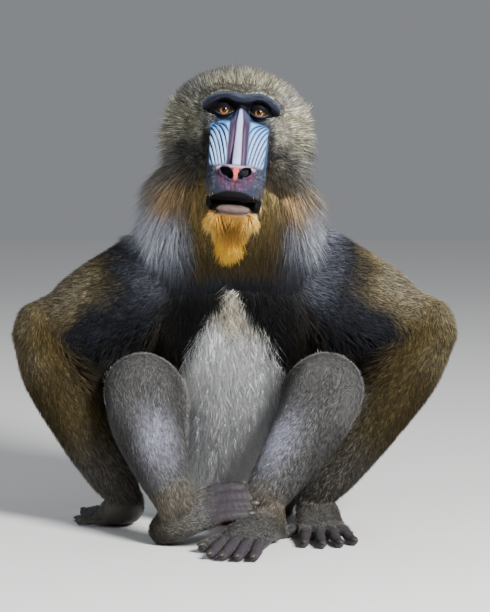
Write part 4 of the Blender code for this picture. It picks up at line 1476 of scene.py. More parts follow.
@dataclass
class Core(Region):
    """A part whose hair stands on a core of level ellipses."""

    stations: list[Row] = field(default_factory=list)
    foot: float = -math.inf  # the height below which a point counts as further off
    base: float = 0.0  # the height at which the unwrap starts
    span: float = 360.0  # and how much of it the unwrap takes

    def around(self, points: Array) -> tuple[Array, Array]:
        """Measure the points against the core.

        Args:
            points: Places on the body.

        Returns:
            Their turn from the front in degrees, and their distance from the core.
        """
        line = smooth_line(self.stations, 80)
        z = points[:, 2]
        rows = np.stack([np.interp(z, line[:, 2], line[:, k]) for k in range(5)], axis=1)
        x, y = points[:, 0] - rows[:, 0], points[:, 1] - rows[:, 1]
        size = np.hypot(x / rows[:, 3], y / rows[:, 4])
        below, above = np.maximum(self.foot - z, 0), np.maximum(z - line[-1, 2], 0)
        return np.degrees(np.arctan2(x, -y)), (size - 1) * np.minimum(rows[:, 3], rows[:, 4]) + below + above

    def gap(self, points: Array) -> Array:
        """Return the distance of each point from the core."""
        return self.around(points)[1]

    def unwrap(self, points: Array) -> Array:
        """Return the turn round the core and the height."""
        turn, _ = self.around(points)
        return np.stack([turn / 360 + 0.5, np.clip((points[:, 2] - self.base) / self.span, 0, 1)], axis=1)


@dataclass
class Trunkwear(Core):
    """The torso's coat: black chest, straw and white belly, olive-brown back."""

    middle: float = -4.0  # where the pale front has its midline
    pale_knots: Row = (150, 210, 249, 275, 301, 340, 356)
    pale_half: Row = (62, 70, 58, 36, 21, 2, -12)

    def growth(self, points: Array) -> Growth:
        """Return hair that hangs: long on chest and belly, shorter on flanks and back.

        Args:
            points: Places on the body.

        Returns:
            The growth.
        """
        turn, _ = self.around(points)
        front = ease(78, 40, np.abs(turn))
        x, _, z = points.T
        grown = Growth.even(len(points), (0, -0.05, -1), 26, 17, 1.7, Tone.BACK.value, 0.5)
        cross = ease(34, 6, np.abs(x - self.middle)) * hump(z, 305, 34)
        back_low = ease(120, 160, np.abs(turn)) * ease(74, 44, z)
        grown.length = 24 + front * (6 + 12 * ease(330, 250, z)) + 8 * ease(300, 200, z) * (1 - front)
        grown.length *= 1 - 0.6 * ease(84, 60, z) * front
        grown.length *= 1 - 0.55 * back_low
        grown.lift = 18 - 4 * front
        grown.lift += 8 * cross
        grown.width = 1.6 - 0.3 * front
        grown.lie[:, 0] = -np.sign(x - self.middle) * 0.55 * cross + 0.0016 * x * front
        reach = np.abs(x - self.middle) + 6 * ripple(points, 30, 31)
        half = np.interp(z, self.pale_knots, self.pale_half)
        pale = front * ease(half + 7, half - 5, reach)
        straw = pale * ease(250, 300, z + 12 * ripple(points, 14, 32)) * ease(52, 30, reach)
        grown.speckle = 0.5 - 0.32 * front * pale * (1 - straw)
        grown.colour = layered(
            grown.colour,
            (Tone.OLIVE_DARK, 0.5 * hump(np.abs(turn), 100, 30)),
            (Tone.BLACK, front * ease(190, 235, z)),
            (Tone.LEG_DARK, front * ease(210, 170, z) * 0.7),
            (Tone.SLATE, 0.6 * front * ease(345, 372, z)),
            (Tone.WHITE, pale),
            (Tone.STRAW, 0.85 * straw),
            (Tone.RED, front * ease(92, 70, z) * ease(40, 22, np.abs(x - 6))),
            (Tone.RUMP, 0.8 * back_low * ease(70, 46, np.abs(x))),
        )
        return grown


@dataclass
class Neckwear(Core):
    """The cape: long silvery hair at the sides of the neck, slate and charcoal below it."""

    hang: float = 24.0  # how far below its root a lock shows its colour

    def growth(self, points: Array) -> Growth:
        """Return long hair that falls outwards over the shoulders.

        Args:
            points: Places on the body.

        Returns:
            The growth.
        """
        turn, _ = self.around(points)
        x, _, z = points.T
        side = np.sin(np.radians(turn)) ** 2
        outward = np.stack([np.sin(np.radians(turn)), -np.cos(np.radians(turn)), 0 * x], axis=1)
        front = ease(62, 26, np.abs(turn))
        grown = Growth.even(len(points), (0, 0, -1), 44, 18, 1.4, Tone.SLATE.value, 0.5)
        grown.lie = np.array((0, 0, -1.0)) + outward * 0.1
        grown.length = 40 + 12 * side - 10 * front
        grown.lift = 15 + 12 * side * ease(355, 420, z) - 4 * front
        grown.droop = 0.06 + 0.14 * side
        grown.colour = self.marked(points, turn, front)
        return grown

    def marked(self, points: Array, turn: Array, front: Array) -> Array:
        """Colour the cape.

        Args:
            points: Places on the body.
            turn: Their turn from the front in degrees.
            front: How much they face forwards.

        Returns:
            The colours.
        """
        seen = points - (0, 0, self.hang)
        x, _, z = seen.T
        reach = np.abs(x) + 8 * ripple(points, 32, 42)
        silver = hump(np.hypot((reach - 104) / 34, (z - 396) / 40), 0, 1.0)
        return layered(
            filled(len(points), Tone.SLATE),
            (Tone.CHARCOAL, 0.8 * ease(345, 305, z + 8 * ripple(points, 40, 41))),
            (Tone.CHEEK_GREY, 0.8 * ease(428, 452, z)),
            (Tone.SILVER, np.clip(1.2 * silver, 0, 0.95)),
            # painted shade on the front of the neck under the beard
            (Tone.SHADE_UNDER_BEARD, front * ease(70, 50, reach) * ease(325, 345, z)),
            (Tone.GOLD, 0.75 * front * ease(72, 58, reach) * ease(350, 412, z)),
            (Tone.RUST, 0.9 * rust_spots(seen)),
            (Tone.BACK, 0.85 * ease(105, 150, np.abs(turn))),
        )


HAIR_SLOPE = 0.04  # how much a millimetre forward lowers hair of the head to the viewer
RUST_SPOTS = ((-73, -116), (72, -113))


def rust_spots(points: Array) -> Array:
    """Mark the rust-coloured spot on each side of the ruff, below the cheek.

    Args:
        points: Places on the body.

    Returns:
        A mask from 0 to 1.
    """
    u, w, d = HEAD.to_head(points).T
    q = w - HAIR_SLOPE * d
    mask = np.zeros(len(points))
    for across, height in RUST_SPOTS:
        off = np.hypot(u - across, (q - height) * 0.75) + 4 * ripple(points, 14, 52)
        mask = np.maximum(mask, 0.8 * hump(off, 0, 14) * ease(-130, -60, d))
    return mask


def ellipsoid_gap(points: Array, centre: Row, half: Row) -> Array:
    """Return about how far each point lies from an ellipsoid.

    Args:
        points: Places in the frame of the ellipsoid's middle.
        centre: The ellipsoid's middle.
        half: Half its size along each axis.

    Returns:
        The distances, below 0 inside.
    """
    off = (points - np.array(centre, float)) / np.array(half, float)
    size = np.linalg.norm(off, axis=1)
    return size * (size - 1) / np.maximum(np.linalg.norm(off / np.array(half, float), axis=1), 1e-6)


@dataclass
class Headwear(Region):
    """Crown, ruff and cheeks: hair that leaves the face's rim on all sides and sweeps back."""

    skull: Skull = field(default_factory=Skull)
    face: Face = field(default_factory=Face)
    muzzle: Row = (0, -70, 20)
    muzzle_half: Row = (42, 44, 66)
    muzzle_hair: dict[str, float] = field(default_factory=lambda: {"length": 4.5, "lift": 16, "width": 0.7})

    def gap(self, points: Array) -> Array:
        """Return the distance of each point from the head.

        Args:
            points: Places on the body.

        Returns:
            The distances.
        """
        head, skull = HEAD.to_head(points), self.skull
        gaps = [ellipsoid_gap(head, skull.cranium, skull.cranium_half),
                ellipsoid_gap(head, skull.brow, skull.brow_half),
                ellipsoid_gap(head, self.muzzle, self.muzzle_half)]
        for sign in SIDES.values():
            gaps.append(ellipsoid_gap(head, (sign * skull.jowl[0], *skull.jowl[1:]), skull.jowl_half))
        return np.minimum.reduce(gaps) - 1.5

    def growth(self, points: Array) -> Growth:
        """Return hair that is short at the face's rim and long in the ruff.

        Args:
            points: Places on the body.

        Returns:
            The growth.
        """
        head = HEAD.to_head(points)
        m = self.face.lines(head)
        u, w, d, q, short = (m[name] for name in ("u", "w", "d", "q", "side"))
        lower = ease(-62, -100, q) * ease(-60, -30, d)
        nape = ease(-24, -70, w) * ease(-30, -70, d)
        away = unit(np.stack([u, w + 34, d - 34], axis=1))
        sweep = -0.3 * ease(22, 0, w) - 0.5 * lower - 0.7 * nape - 0.5 * ease(-34, -66, w)
        away = away + np.stack([0 * u, sweep, 0 * u - 0.1], axis=1)
        rim = self.rim_distance(m)
        far = ease(6, 46, rim)
        fringe = ease(-34, -66, w) * ease(56, 80, np.abs(u + 3))
        grown = Growth.even(len(points), (0, 0, 1), 22, 40, 1.25, Tone.CROWN.value, 0.42)
        grown.lie = unit(away) @ HEAD.axes
        grown.length = (5 + 15 * far) * (1 + 0.3 * ease(10, -40, w)) + 24 * ease(34, 62, w) + 14 * lower * far
        grown.length += 24 * nape + 16 * fringe
        grown.lift = 26 + 30 * ease(2, 24, rim) - 22 * lower - 30 * nape - 14 * fringe
        grown.width = 0.85 + 0.35 * far + 0.25 * lower + 0.4 * nape
        grown.speckle = 0.95 - 0.35 * lower
        for name, value in self.muzzle_hair.items():
            setattr(grown, name, getattr(grown, name) * (1 - short) + value * short)
        grown.colour = self.marked(points, m, rim)
        return grown

    @staticmethod
    def rim_distance(m: dict[str, Array]) -> Array:
        """Return about how far a point lies outside the face's bare skin.

        Args:
            m: The face's lines at the points.

        Returns:
            The distances.
        """
        side = m["a"] - 40 - 10 * ease(-14, 6, m["q"])
        up = m["q"] - 20 + 14 * ease(20, 52, m["a"]) ** 1.5
        back = -(m["d"] + 2)
        return np.maximum(np.maximum(side, up), back * 0.8)

    def marked(self, points: Array, m: dict[str, Array], rim: Array) -> Array:
        """Colour the fur of the head.

        Args:
            points: Places on the body.
            m: The face's lines there.
            rim: The distance from the bare face.

        Returns:
            The colours.
        """
        d, a, q = m["d"], m["a"], m["q"]
        wave = ripple(points, 26, 51)
        dark = ease(-22, -52, q) * ease(82, 54, a + 6 * wave) * ease(-120, -96, q - 0.35 * (a - 40))
        return layered(
            filled(len(points), Tone.CROWN),
            (Tone.CROWN_YELLOW, 0.85 * ease(16, -10, q) * ease(36, 54, a) * (0.8 + 0.2 * wave)),
            (Tone.CROWN_YELLOW, 0.8 * hump(q, 29, 13) * ease(66, 30, a)),
            (Tone.CHEEK_GREY, 0.75 * ease(-30, -62, q) * ease(50, 76, a)),
            (Tone.CHEEK_DARK, 0.93 * dark),
            (Tone.CHEEK_DARK, ease(8, 0, rim) * (0.45 + 0.4 * ease(24, 6, q))),
            # painted shade under the jaw
            (Tone.SHADE_UNDER_BEARD, 0.6 * ease(-84, -100, q) * ease(84, 64, a)),
            (Tone.CREAM, 0.85 * ease(-86, -104, q) * ease(66, 44, a + 5 * wave)),
            (Tone.SILVER, 0.75 * ease(-92, -116, q) * ease(92, 106, a + 5 * wave)),
            (Tone.RUST, 0.9 * rust_spots(points)),
            (Tone.SLATE, 0.85 * m["side"]),
            (Tone.BACK, 0.85 * ease(-70, -120, d) * ease(50, -40, q)),
        )

    def unwrap(self, points: Array) -> Array:
        """Return the turn and the height of each point as seen from the middle of the head.

        Args:
            points: Places on the body.

        Returns:
            Rows of two shares.
        """
        head = HEAD.to_head(points) - np.array((0, -40, -60.0))
        turn = np.arctan2(head[:, 0], head[:, 2]) / (2 * np.pi) + 0.5
        rise = np.arctan2(head[:, 1], np.hypot(head[:, 0], head[:, 2])) / np.pi + 0.5
        return np.stack([turn, rise], axis=1)


@dataclass
class Beard(Region):
    """The beard: golden hair that fans from lip and chin down to one tip."""

    middle: float = -2.0
    tip: float = -198.0  # how low the beard reaches
    jaw: Row = (0, -134, 28)
    jaw_half: Row = (34, 17, 44)
    chin: Row = (0, -146, 27)
    chin_half: Row = (22, 26, 20)

    def gap(self, points: Array) -> Array:
        """Return the distance of each point from the jaw and the chin.

        Args:
            points: Places on the body.

        Returns:
            The distances.
        """
        head = HEAD.to_head(points)
        gaps = [ellipsoid_gap(head, self.jaw, self.jaw_half), ellipsoid_gap(head, self.chin, self.chin_half)]
        return np.minimum.reduce(gaps) - 2.5

    def growth(self, points: Array) -> Growth:
        """Return long hair that hangs and turns towards the middle, down to one tip.

        Args:
            points: Places on the body.

        Returns:
            The growth.
        """
        head = HEAD.to_head(points)
        u, w, d = head.T
        q = w - HAIR_SLOPE * d
        reach = np.abs(u - self.middle)
        chin, jaw = ease(-124, -142, q), ease(32, 12, d)
        lie = np.stack([-(u - self.middle) * 0.016, -1 + 0 * u, 0.1 + 0 * u], axis=1)
        to_tip = (q - self.tip - 1.4 * reach - 0.9 * np.maximum(reach - 20, 0)) * 1.03
        grown = Growth.even(len(points), (0, 0, -1), 40, 22, 1.7, Tone.BEARD.value, 0.26)
        grown.length = np.clip(to_tip, 9, 10 + 24 * chin) * (1 - jaw) + 24 * jaw
        grown.lie = unit(lie + np.stack([0 * u, 0 * u, -0.45 * jaw], axis=1)) @ HEAD.axes
        grown.lift = 14 + 8 * chin
        grown.width = 1.1 + 0.6 * chin
        grown.droop = 0.15 * chin
        grown.colour = layered(
            grown.colour,
            (Tone.BEARD_PALE, 0.85 * ease(13, 30, reach + 3 * ripple(points, 14, 61))),
            (Tone.CROWN_YELLOW, 0.9 * jaw),
            # painted shade on the beard's underside and under the lower lip
            (Tone.SHADE_UNDER_BEARD, 0.85 * ease(28, 5, d) * ease(-136, -150, q)),
            (Tone.SHADE_UNDER_BEARD, 0.75 * ease(-145, -135, q) * ease(26, 12, reach)),
        )
        return grown

    def unwrap(self, points: Array) -> Array:
        """Return the turn round the chin's line and the height.

        Args:
            points: Places on the body.

        Returns:
            Rows of two shares.
        """
        head = HEAD.to_head(points) - np.array((0, 0, 20.0))
        turn = np.arctan2(head[:, 0], head[:, 2]) / (2 * np.pi) + 0.5
        return np.stack([turn, np.clip((head[:, 1] + 190) / 90, 0, 1)], axis=1)


@dataclass
class Pawwear(Bone):
    """Short speckled hair on the back of a hand or foot, none on palm, sole and digits."""

    up: Row = (0, 0, 1)

    def marked(self, points: Array, colour: Array) -> Array:
        """Return the grey with olive hair at the wrist or ankle and mauve digits.

        Args:
            points: Places on the body.
            colour: The colours without the markings.

        Returns:
            The colours.
        """
        share, _ = self.measure(points)
        return layered(
            colour,
            (Tone.OLIVE_DARK, 0.5 * ease(0.6, 0.1, share)),
            (Tone.PALM, ease(0.58, 0.86, share)),
        )


PAW_HEIGHTS = {"hand_left": 20, "hand_right": 20, "foot_left": 22, "foot_right": 0}  # over its origin
PAW_REACH = 120
# the middles of the painted sheen highlights on the shins
PAINTED_SHEEN_MIDDLES = {"left": (64, -150, 132), "right": (-100, -146, 138)}
FIRST_HALF, SECOND_HALF = (0, 0.48), (0.52, 1)  # the bands of a limb's unwrap that its two bones take


def limb_regions(side: str) -> list[Region]:
    """Build the regions of an arm and a leg.

    Args:
        side: Which side.

    Returns:
        The regions, from the shoulder to the ankle.
    """
    shoulder, elbow, wrist = SHOULDER[side], ELBOW[side], WRIST[side]
    hip, knee, ankle = HIP[side], KNEE[side], ANKLE[side]
    arm, leg = f"coat_arm_{side}", f"coat_leg_{side}"
    arm_start = along(shoulder, elbow, 0, (0, 0, -18))
    return [
        UpperArm(f"upper_arm_{side}", arm, arm_start, elbow, (66, 38), 12, 22, 1.15, speckle=0.55,
                 band=FIRST_HALF),
        Forearm(f"forearm_{side}", arm, elbow, wrist, (40, 24), 11, 22, 1.15, speckle=0.55, band=SECOND_HALF),
        Bone(f"thigh_{side}", leg, hip, knee, (62, 48), 11, 15, 1.15, Tone.LEG, 0.4, FIRST_HALF),
        LowerLeg(f"lower_leg_{side}", leg, knee, ankle, (48, 26), 10, 15, 1.15, Tone.LEG, 0.4, SECOND_HALF,
                 PAINTED_SHEEN_MIDDLES[side]),
    ]


def regions(paws: list[Paw]) -> list[Region]:
    """Build every region of the coat.

    Args:
        paws: The hands and feet.

    Returns:
        The regions.
    """
    trunk = Trunk()
    made: list[Region] = [
        Trunkwear("torso", "coat_torso", trunk.torso),
        Neckwear("neck", "coat_mantle", trunk.neck, foot=344.0, base=320.0, span=180.0),
        Headwear("head", "coat_crown"),
        Beard("beard", "coat_beard"),
    ]
    for side in SIDES:
        made += limb_regions(side)
    for paw in paws:
        ahead, _, up = paw.axes()
        start = np.array(paw.at(-10, 0, PAW_HEIGHTS[paw.name]))
        made.append(Pawwear(paw.name, "coat_paws", tuple(start), tuple(start + ahead * PAW_REACH - up * 10),
                            (26, 20), 6.5, 22, 1.1, Tone.PAW, 0.5, up=tuple(up)))
    made.append(Bone("tail", "coat_torso", trunk.tail[0][:3], trunk.tail[-1][:3], (18, 8), 13, 30, 1.6,
                     Tone.BACK, 0.5, (0, 0.1)))
    return made


# The skin as one mesh


@dataclass
class Skin:
    """One skin over the whole animal, fine on face, hands and feet and plain under the fur."""

    trunk: Trunk = field(default_factory=Trunk)
    limbs: Limbs = field(default_factory=Limbs)
    paws: list[Paw] = field(default_factory=lambda: Paws().all())
    skull: Skull = field(default_factory=Skull)
    face: Face = field(default_factory=Face)
    body_voxel: float = 4.0
    head_voxel: float = 1.25
    paw_voxel: float = 1.7
    body_faces: int = 46000
    head_faces: int = 74000
    paw_faces: int = 13500

    seams: list[Row] = field(default_factory=lambda: [
        *WRIST.values(), *ANKLE.values(), (-78, -168, 62), (40, -176, 50)])

    def build(self) -> bpy.types.Object:
        """Build the skin.

        Returns:
            The working object, in millimetres, as one closed mesh of triangles.
        """
        body = melted("skin", self.trunk.shells() + self.limbs.shells(), self.body_voxel, 6)
        thinned(body, self.body_faces)
        others = [self.head()] + [self.paw(paw) for paw in self.paws]
        group = bpy.data.collections.new("skin_pieces")
        bpy.context.scene.collection.children.link(group)
        for other in others:
            bpy.context.scene.collection.objects.unlink(other)
            group.objects.link(other)
        union = body.modifiers.new("union", "BOOLEAN")
        union.operation = "UNION"
        union.operand_type = "COLLECTION"
        union.collection = group
        union.solver = "MANIFOLD"
        apply_modifiers(body)
        for other in others:
            bpy.data.objects.remove(other)
        bpy.data.collections.remove(group)
        self.ease_seams(body)
        return body

    def head(self) -> bpy.types.Object:
        """Return the head, sculpted, with its fine faces kept on the face.

        Returns:
            The working object, in millimetres.
        """
        made = melted("head", self.skull.shells(), self.head_voxel, 5)
        points = self.face.sculpt(points_of(made.data), normals_of(made.data))
        points_into(made.data, points)
        head = HEAD.to_head(points)
        spared = ease(56, 46, np.abs(head[:, 0])) * ease(-34, -20, head[:, 2]) * ease(-140, -130, head[:, 1])
        thinned(made, self.head_faces, spared)
        return made

    def paw(self, paw: Paw) -> bpy.types.Object:
        """Return a hand or foot, with creases across its digits.

        Args:
            paw: The hand or foot.

        Returns:
            The working object, in millimetres.
        """
        made = melted(paw.name, paw.shells(), self.paw_voxel, 3)
        points = points_of(made.data)
        ahead, _, _ = paw.axes()
        share = (points - np.array(paw.origin)) @ ahead
        crease = 0.28 * np.sin(share * 1.35 + 2.0 * ripple(points, 22, 71)) * ease(30, 60, share)
        rise = crease + 0.3 * ripple(points, 7, 72)
        points_into(made.data, points + normals_of(made.data) * rise[:, None])
        thinned(made, self.paw_faces)
        return made

    def ease_seams(self, body: bpy.types.Object) -> None:
        """Smooth the skin where the pieces meet and keep it above the floor.

        Args:
            body: The joined skin.
        """
        points = points_of(body.data)
        near = np.zeros(len(points))
        for place in self.seams:
            near = np.maximum(near, ease(36, 20, np.linalg.norm(points - np.array(place), axis=1)))
        head = HEAD.to_head(points)
        rear = ease(-10, -40, head[:, 2]) * ease(-10, -40, head[:, 1]) * ease(-220, -150, head[:, 1])
        soften(body, 0.6, 8, graded(body, np.maximum(near, rear)))
        apply_modifiers(body)
        body.vertex_groups.clear()
        points = points_of(body.data)
        points[:, 2] = np.maximum(points[:, 2], FLOOR_CLEARANCE)
        points_into(body.data, points)


# The coat as tufts


TUFT_FACES = np.array([(2, 1, 3), (0, 2, 3), (1, 0, 3), (0, 1, 2)])  # three sides and the foot
TUFT_CORNERS = 4
PATCH = 0.0015  # half the width of a tuft's patch on its bake map
PATCH_CORNERS = np.array([(-1.0, -1.0), (1.0, -1.0), (0.0, -0.6), (0.0, 1.0)]) * PATCH


@dataclass(frozen=True)
class CoatPiece:
    """One piece of the coat: a slot name that nothing here reads, how many tufts it has and its random seed.
    """

    name: str
    slot: str
    tufts: int
    seed: int


COAT_PIECES = (
    CoatPiece("coat_crown", "crown_coat", 49500, 1),
    CoatPiece("coat_cheeks", "crown_coat", 40000, 12),
    CoatPiece("coat_beard", "beard_coat", 19000, 2),
    CoatPiece("coat_mantle", "mantle_coat", 49500, 3),
    CoatPiece("coat_torso", "olive_coat", 48000, 4),
    CoatPiece("coat_arm_left", "olive_coat", 35000, 5),
    CoatPiece("coat_arm_right", "olive_coat", 35000, 6),
    CoatPiece("coat_leg_left", "grey_coat", 32000, 7),
    CoatPiece("coat_leg_right", "grey_coat", 32000, 8),
    CoatPiece("coat_paws", "hand_skin", 15000, 9),
)


@dataclass
class Blend:
    """The growth at a set of points, blended from the regions, with each point's own region."""

    growth: Growth
    owner: Array

@dataclass
class Coat:
    """The whole coat: it blends the regions, sows the roots on the skin and draws the tufts."""

    wear: list[Region]
    face: Face = field(default_factory=Face)
    soft: float = 5.0  # how far one region fades into the next
    least: float = 0.02  # the smallest share of a region that counts
    painted_skin_shade: float = 0.62  # painted shade: how bright the skin under the coat is painted, against the coat's colours
    turn: float = 13.0  # how much a tuft may turn off the lie, in degrees
    turn_limit: float = 1.7
    foot_depth: float = 1.2  # how far the foot is sunk in the skin
    foot_back: float = 0.8  # and how far it lies behind the root
    thickness: float = 0.42  # a tuft's height at its foot, over its width
    sag: float = 0.8  # how much of its droop the tip takes
    bow: float = 0.05  # how far the tip bends towards the skin, over the length
    ticked_share: float = 0.3  # how many tufts are dark
    ticked: float = -1.1
    unticked: float = 0.42
    # painted shade at a tuft's root, standing for the shade deep in the coat
    painted_root_shade: float = 0.32
    tip_shade: float = 1.12

    def blended(self, points: Array) -> Blend:
        """Blend the regions at the points, by how near the surface of each one lies.

        Args:
            points: Places on the skin.

        Returns:
            The blended growth and the nearest region's number.
        """
        gaps = np.stack([region.gap(points) for region in self.wear], axis=1)
        owner = np.argmin(gaps, axis=1)
        weight = np.exp(-(gaps - gaps.min(axis=1, keepdims=True)) / self.soft)
        weight /= weight.sum(axis=1, keepdims=True)
        total = Growth.even(len(points), (0, 0, 0), 0, 0, 0, (0, 0, 0), 0)
        for k, region in enumerate(self.wear):
            chosen = np.flatnonzero(weight[:, k] > self.least)
            if not len(chosen):
                continue
            grown, share = region.growth(points[chosen]), weight[chosen, k]
            for name in ("length", "lift", "width", "speckle", "droop"):
                getattr(total, name)[chosen] += getattr(grown, name) * share
            total.lie[chosen] += grown.lie * share[:, None]
            total.colour[chosen] += grown.colour * share[:, None]
        return Blend(total, owner)

    def paint(self, points: Array) -> Array:
        """Colour the skin with the coat's own markings, darkened as painted shade under the coat, and its
        bare face.

        Args:
            points: Places on the skin.

        Returns:
            The colours.
        """
        grown = self.blended(points).growth
        return self.face.paint(points, grown.colour * self.painted_skin_shade)

    def bare(self, points: Array, normals: Array, owner: Array) -> Array:
        """Mark where no tuft grows.

        Args:
            points: Places on the skin.
            normals: The normals there.
            owner: The number of each place's region.

        Returns:
            1 on bare skin and 0 in full fur.
        """
        lines = self.face.lines(HEAD.to_head(points))
        mask = lines["bare"] * (1 - 0.1 * lines["side"])
        for k, region in enumerate(self.wear):
            if isinstance(region, Pawwear):
                share, _ = region.measure(points)
                under = ease(0.15, -0.25, normals @ np.array(region.up))
                own = np.maximum(mask, np.maximum(under, ease(0.56, 0.84, share)))
                mask = np.where(owner == k, own, mask)
        pads = ease(13, 8, points[:, 2]) * ease(-1, 1, points[:, 1] - 20)
        return np.clip(np.maximum(mask, pads), 0, 1)

    def sow(self, piece: CoatPiece, tris: Array, areas: Array, chance: Array) -> tuple[Array, Array]:
        """Draw the roots of a piece over the skin's triangles.

        Args:
            piece: The piece.
            tris: The corners of each triangle.
            areas: The triangles' areas.
            chance: How densely each one is sown.

        Returns:
            For each root its triangle, and its shares of the three corners.
        """
        draw = np.random.default_rng(piece.seed)
        odds = np.cumsum(areas * chance)
        steps = (np.arange(piece.tufts) + draw.uniform(0, 1, piece.tufts)) / piece.tufts * odds[-1]
        chosen = np.minimum(np.searchsorted(odds, steps), len(tris) - 1)
        first, second = draw.uniform(0, 1, (2, piece.tufts))
        root = np.sqrt(first)
        return chosen, np.stack([1 - root, root * (1 - second), root * second], axis=1)

    def tufts(self, piece: CoatPiece, roots: Array, normals: Array) -> tuple[Array, Array, Array]:
        """Work out the tufts of a piece.

        Each tuft has a three-cornered foot sunk in the skin and runs to its tip along
        lie cos(lift) + normal sin(lift), where lie is the hair's own way turned by a little.

        Args:
            piece: The piece.
            roots: The places of the roots.
            normals: The skin's normals there.

        Returns:
            The points as tuft by corner by three, their colours, and the roots' places on the unwrap.
        """
        draw = np.random.default_rng(piece.seed + 100)
        count = len(roots)
        blend = self.blended(roots)
        grown = blend.growth
        lie = unit(grown.lie - normals * (grown.lie * normals).sum(axis=1, keepdims=True))
        side = np.cross(lie, normals)
        random_turn = self.turn * np.clip(draw.normal(0, 1, count), -self.turn_limit, self.turn_limit)
        angle = np.radians(random_turn + 9 * ripple(roots, 24, 81) + 13 * ripple(roots, 7, 82))
        lie = lie * np.cos(angle)[:, None] + side * np.sin(angle)[:, None]
        side = unit(np.cross(lie, normals))
        lift = np.radians(grown.lift * draw.uniform(0.7, 1.3, count))
        ahead = lie * np.cos(lift)[:, None] + normals * np.sin(lift)[:, None]
        length = grown.length * draw.uniform(0.72, 1.2, count)
        width = grown.width * draw.uniform(0.8, 1.25, count)
        half = (width / 2)[:, None]
        foot = roots - normals * self.foot_depth - lie * self.foot_back
        rise = np.cross(side, ahead) * (width * self.thickness)[:, None]
        tip = roots + ahead * length[:, None]
        tip[:, 2] += -grown.droop * length * self.sag
        tip = tip - normals * (length * self.bow)[:, None]
        points = np.stack([foot - side * half, foot + side * half, foot + rise, tip], axis=1)
        points[..., 2] = np.maximum(points[..., 2], FLOOR_CLEARANCE)
        return points, self.shades(roots, grown, draw), self.places(roots, blend.owner)

    def shades(self, roots: Array, grown: Growth, draw: np.random.Generator) -> Array:
        """Colour the tufts: painted shade at the root, full further out, lighter or darker from clump to
        clump.

        Args:
            roots: The places of the roots.
            grown: The growth at the roots.
            draw: Where random numbers come from.

        Returns:
            Colours as tuft by corner by three.
        """
        count = len(roots)
        ticked = np.where(draw.random(count) < self.ticked_share, self.ticked, self.unticked)
        patchy = 0.6 * draw.normal(0, 1, count) + ticked + 0.4 * ripple(roots, 5.5, 83)
        shade = np.exp(patchy * grown.speckle - 0.3 * grown.speckle**2)[:, None]
        warm = draw.normal(0, 0.05, count)[:, None] * np.array((1.0, 0.25, -1.0))
        full = np.clip(grown.colour * shade * (1 + warm), 0, 0.95)
        # painted shade: each tuft is darker at its root
        root = full * (self.painted_root_shade + 0.5 * full[:, :1])
        lighter = self.tip_shade + 0.25 * draw.normal(0, 1, count)[:, None] * grown.speckle[:, None]
        return np.stack([root, root, root, np.clip(full * lighter, 0, 0.98)], axis=1)

    def places(self, roots: Array, owner: Array) -> Array:
        """Return each root's place on the unwrap of its own region.

        Args:
            roots: The places of the roots.
            owner: The number of each root's region.

        Returns:
            Rows of two shares.
        """
        spots = np.zeros((len(roots), 2))
        for k, region in enumerate(self.wear):
            own = np.flatnonzero(owner == k)
            if len(own):
                spots[own] = region.unwrap(roots[own])
        return np.clip(spots, 2 * PATCH, 1 - 2 * PATCH)

    def build(self, piece: CoatPiece, skin: "SkinSample") -> bpy.types.Object:
        """Build one piece of the coat.

        Args:
            piece: The piece.
            skin: The skin's triangles.

        Returns:
            The object, in the row frame.
        """
        cheeks = piece.name == "coat_cheeks"
        own = np.array([region.piece == piece.name for region in self.wear])[skin.owner]
        chance = (own | cheeks * skin.head) * (1 - skin.bare) * skin.wanted
        chance = chance * np.where(skin.head, skin.low if cheeks else 1 - skin.low, 1)
        chosen, shares = self.sow(piece, skin.tris, skin.areas, chance)
        corners = skin.tris[chosen]
        roots = (skin.points[corners] * shares[..., None]).sum(axis=1)
        normals = unit((skin.normals[corners] * shares[..., None]).sum(axis=1))
        points, shades, spots = self.tufts(piece, roots, normals)
        faces = (TUFT_FACES[None] + (np.arange(len(roots)) * TUFT_CORNERS)[:, None, None]).reshape(-1, 3)
        mesh = mesh_of(piece.name, (points.reshape(-1, 3) - SEAT) * MM, [faces])
        colours_into(mesh, shades.reshape(-1, 3))
        layer = mesh.uv_layers.new(name="OFBake")
        places = (spots[:, None] + PATCH_CORNERS[None]).reshape(-1, 2)
        layer.data.foreach_set("uv", places[faces.ravel()].astype(np.float32).ravel())
        return linked(piece.name, mesh)


def colours_into(mesh: bpy.types.Mesh, colours: Array) -> None:
    """Store a colour for each point of a mesh.

    Args:
        mesh: The mesh.
        colours: Rows of red, green and blue, as linear light.
    """
    layer = mesh.attributes.new(COLOURS, "FLOAT_COLOR", "POINT")
    rows = np.ones((len(colours), 4), np.float32)
    rows[:, :3] = colours
    layer.data.foreach_set("color", rows.ravel())


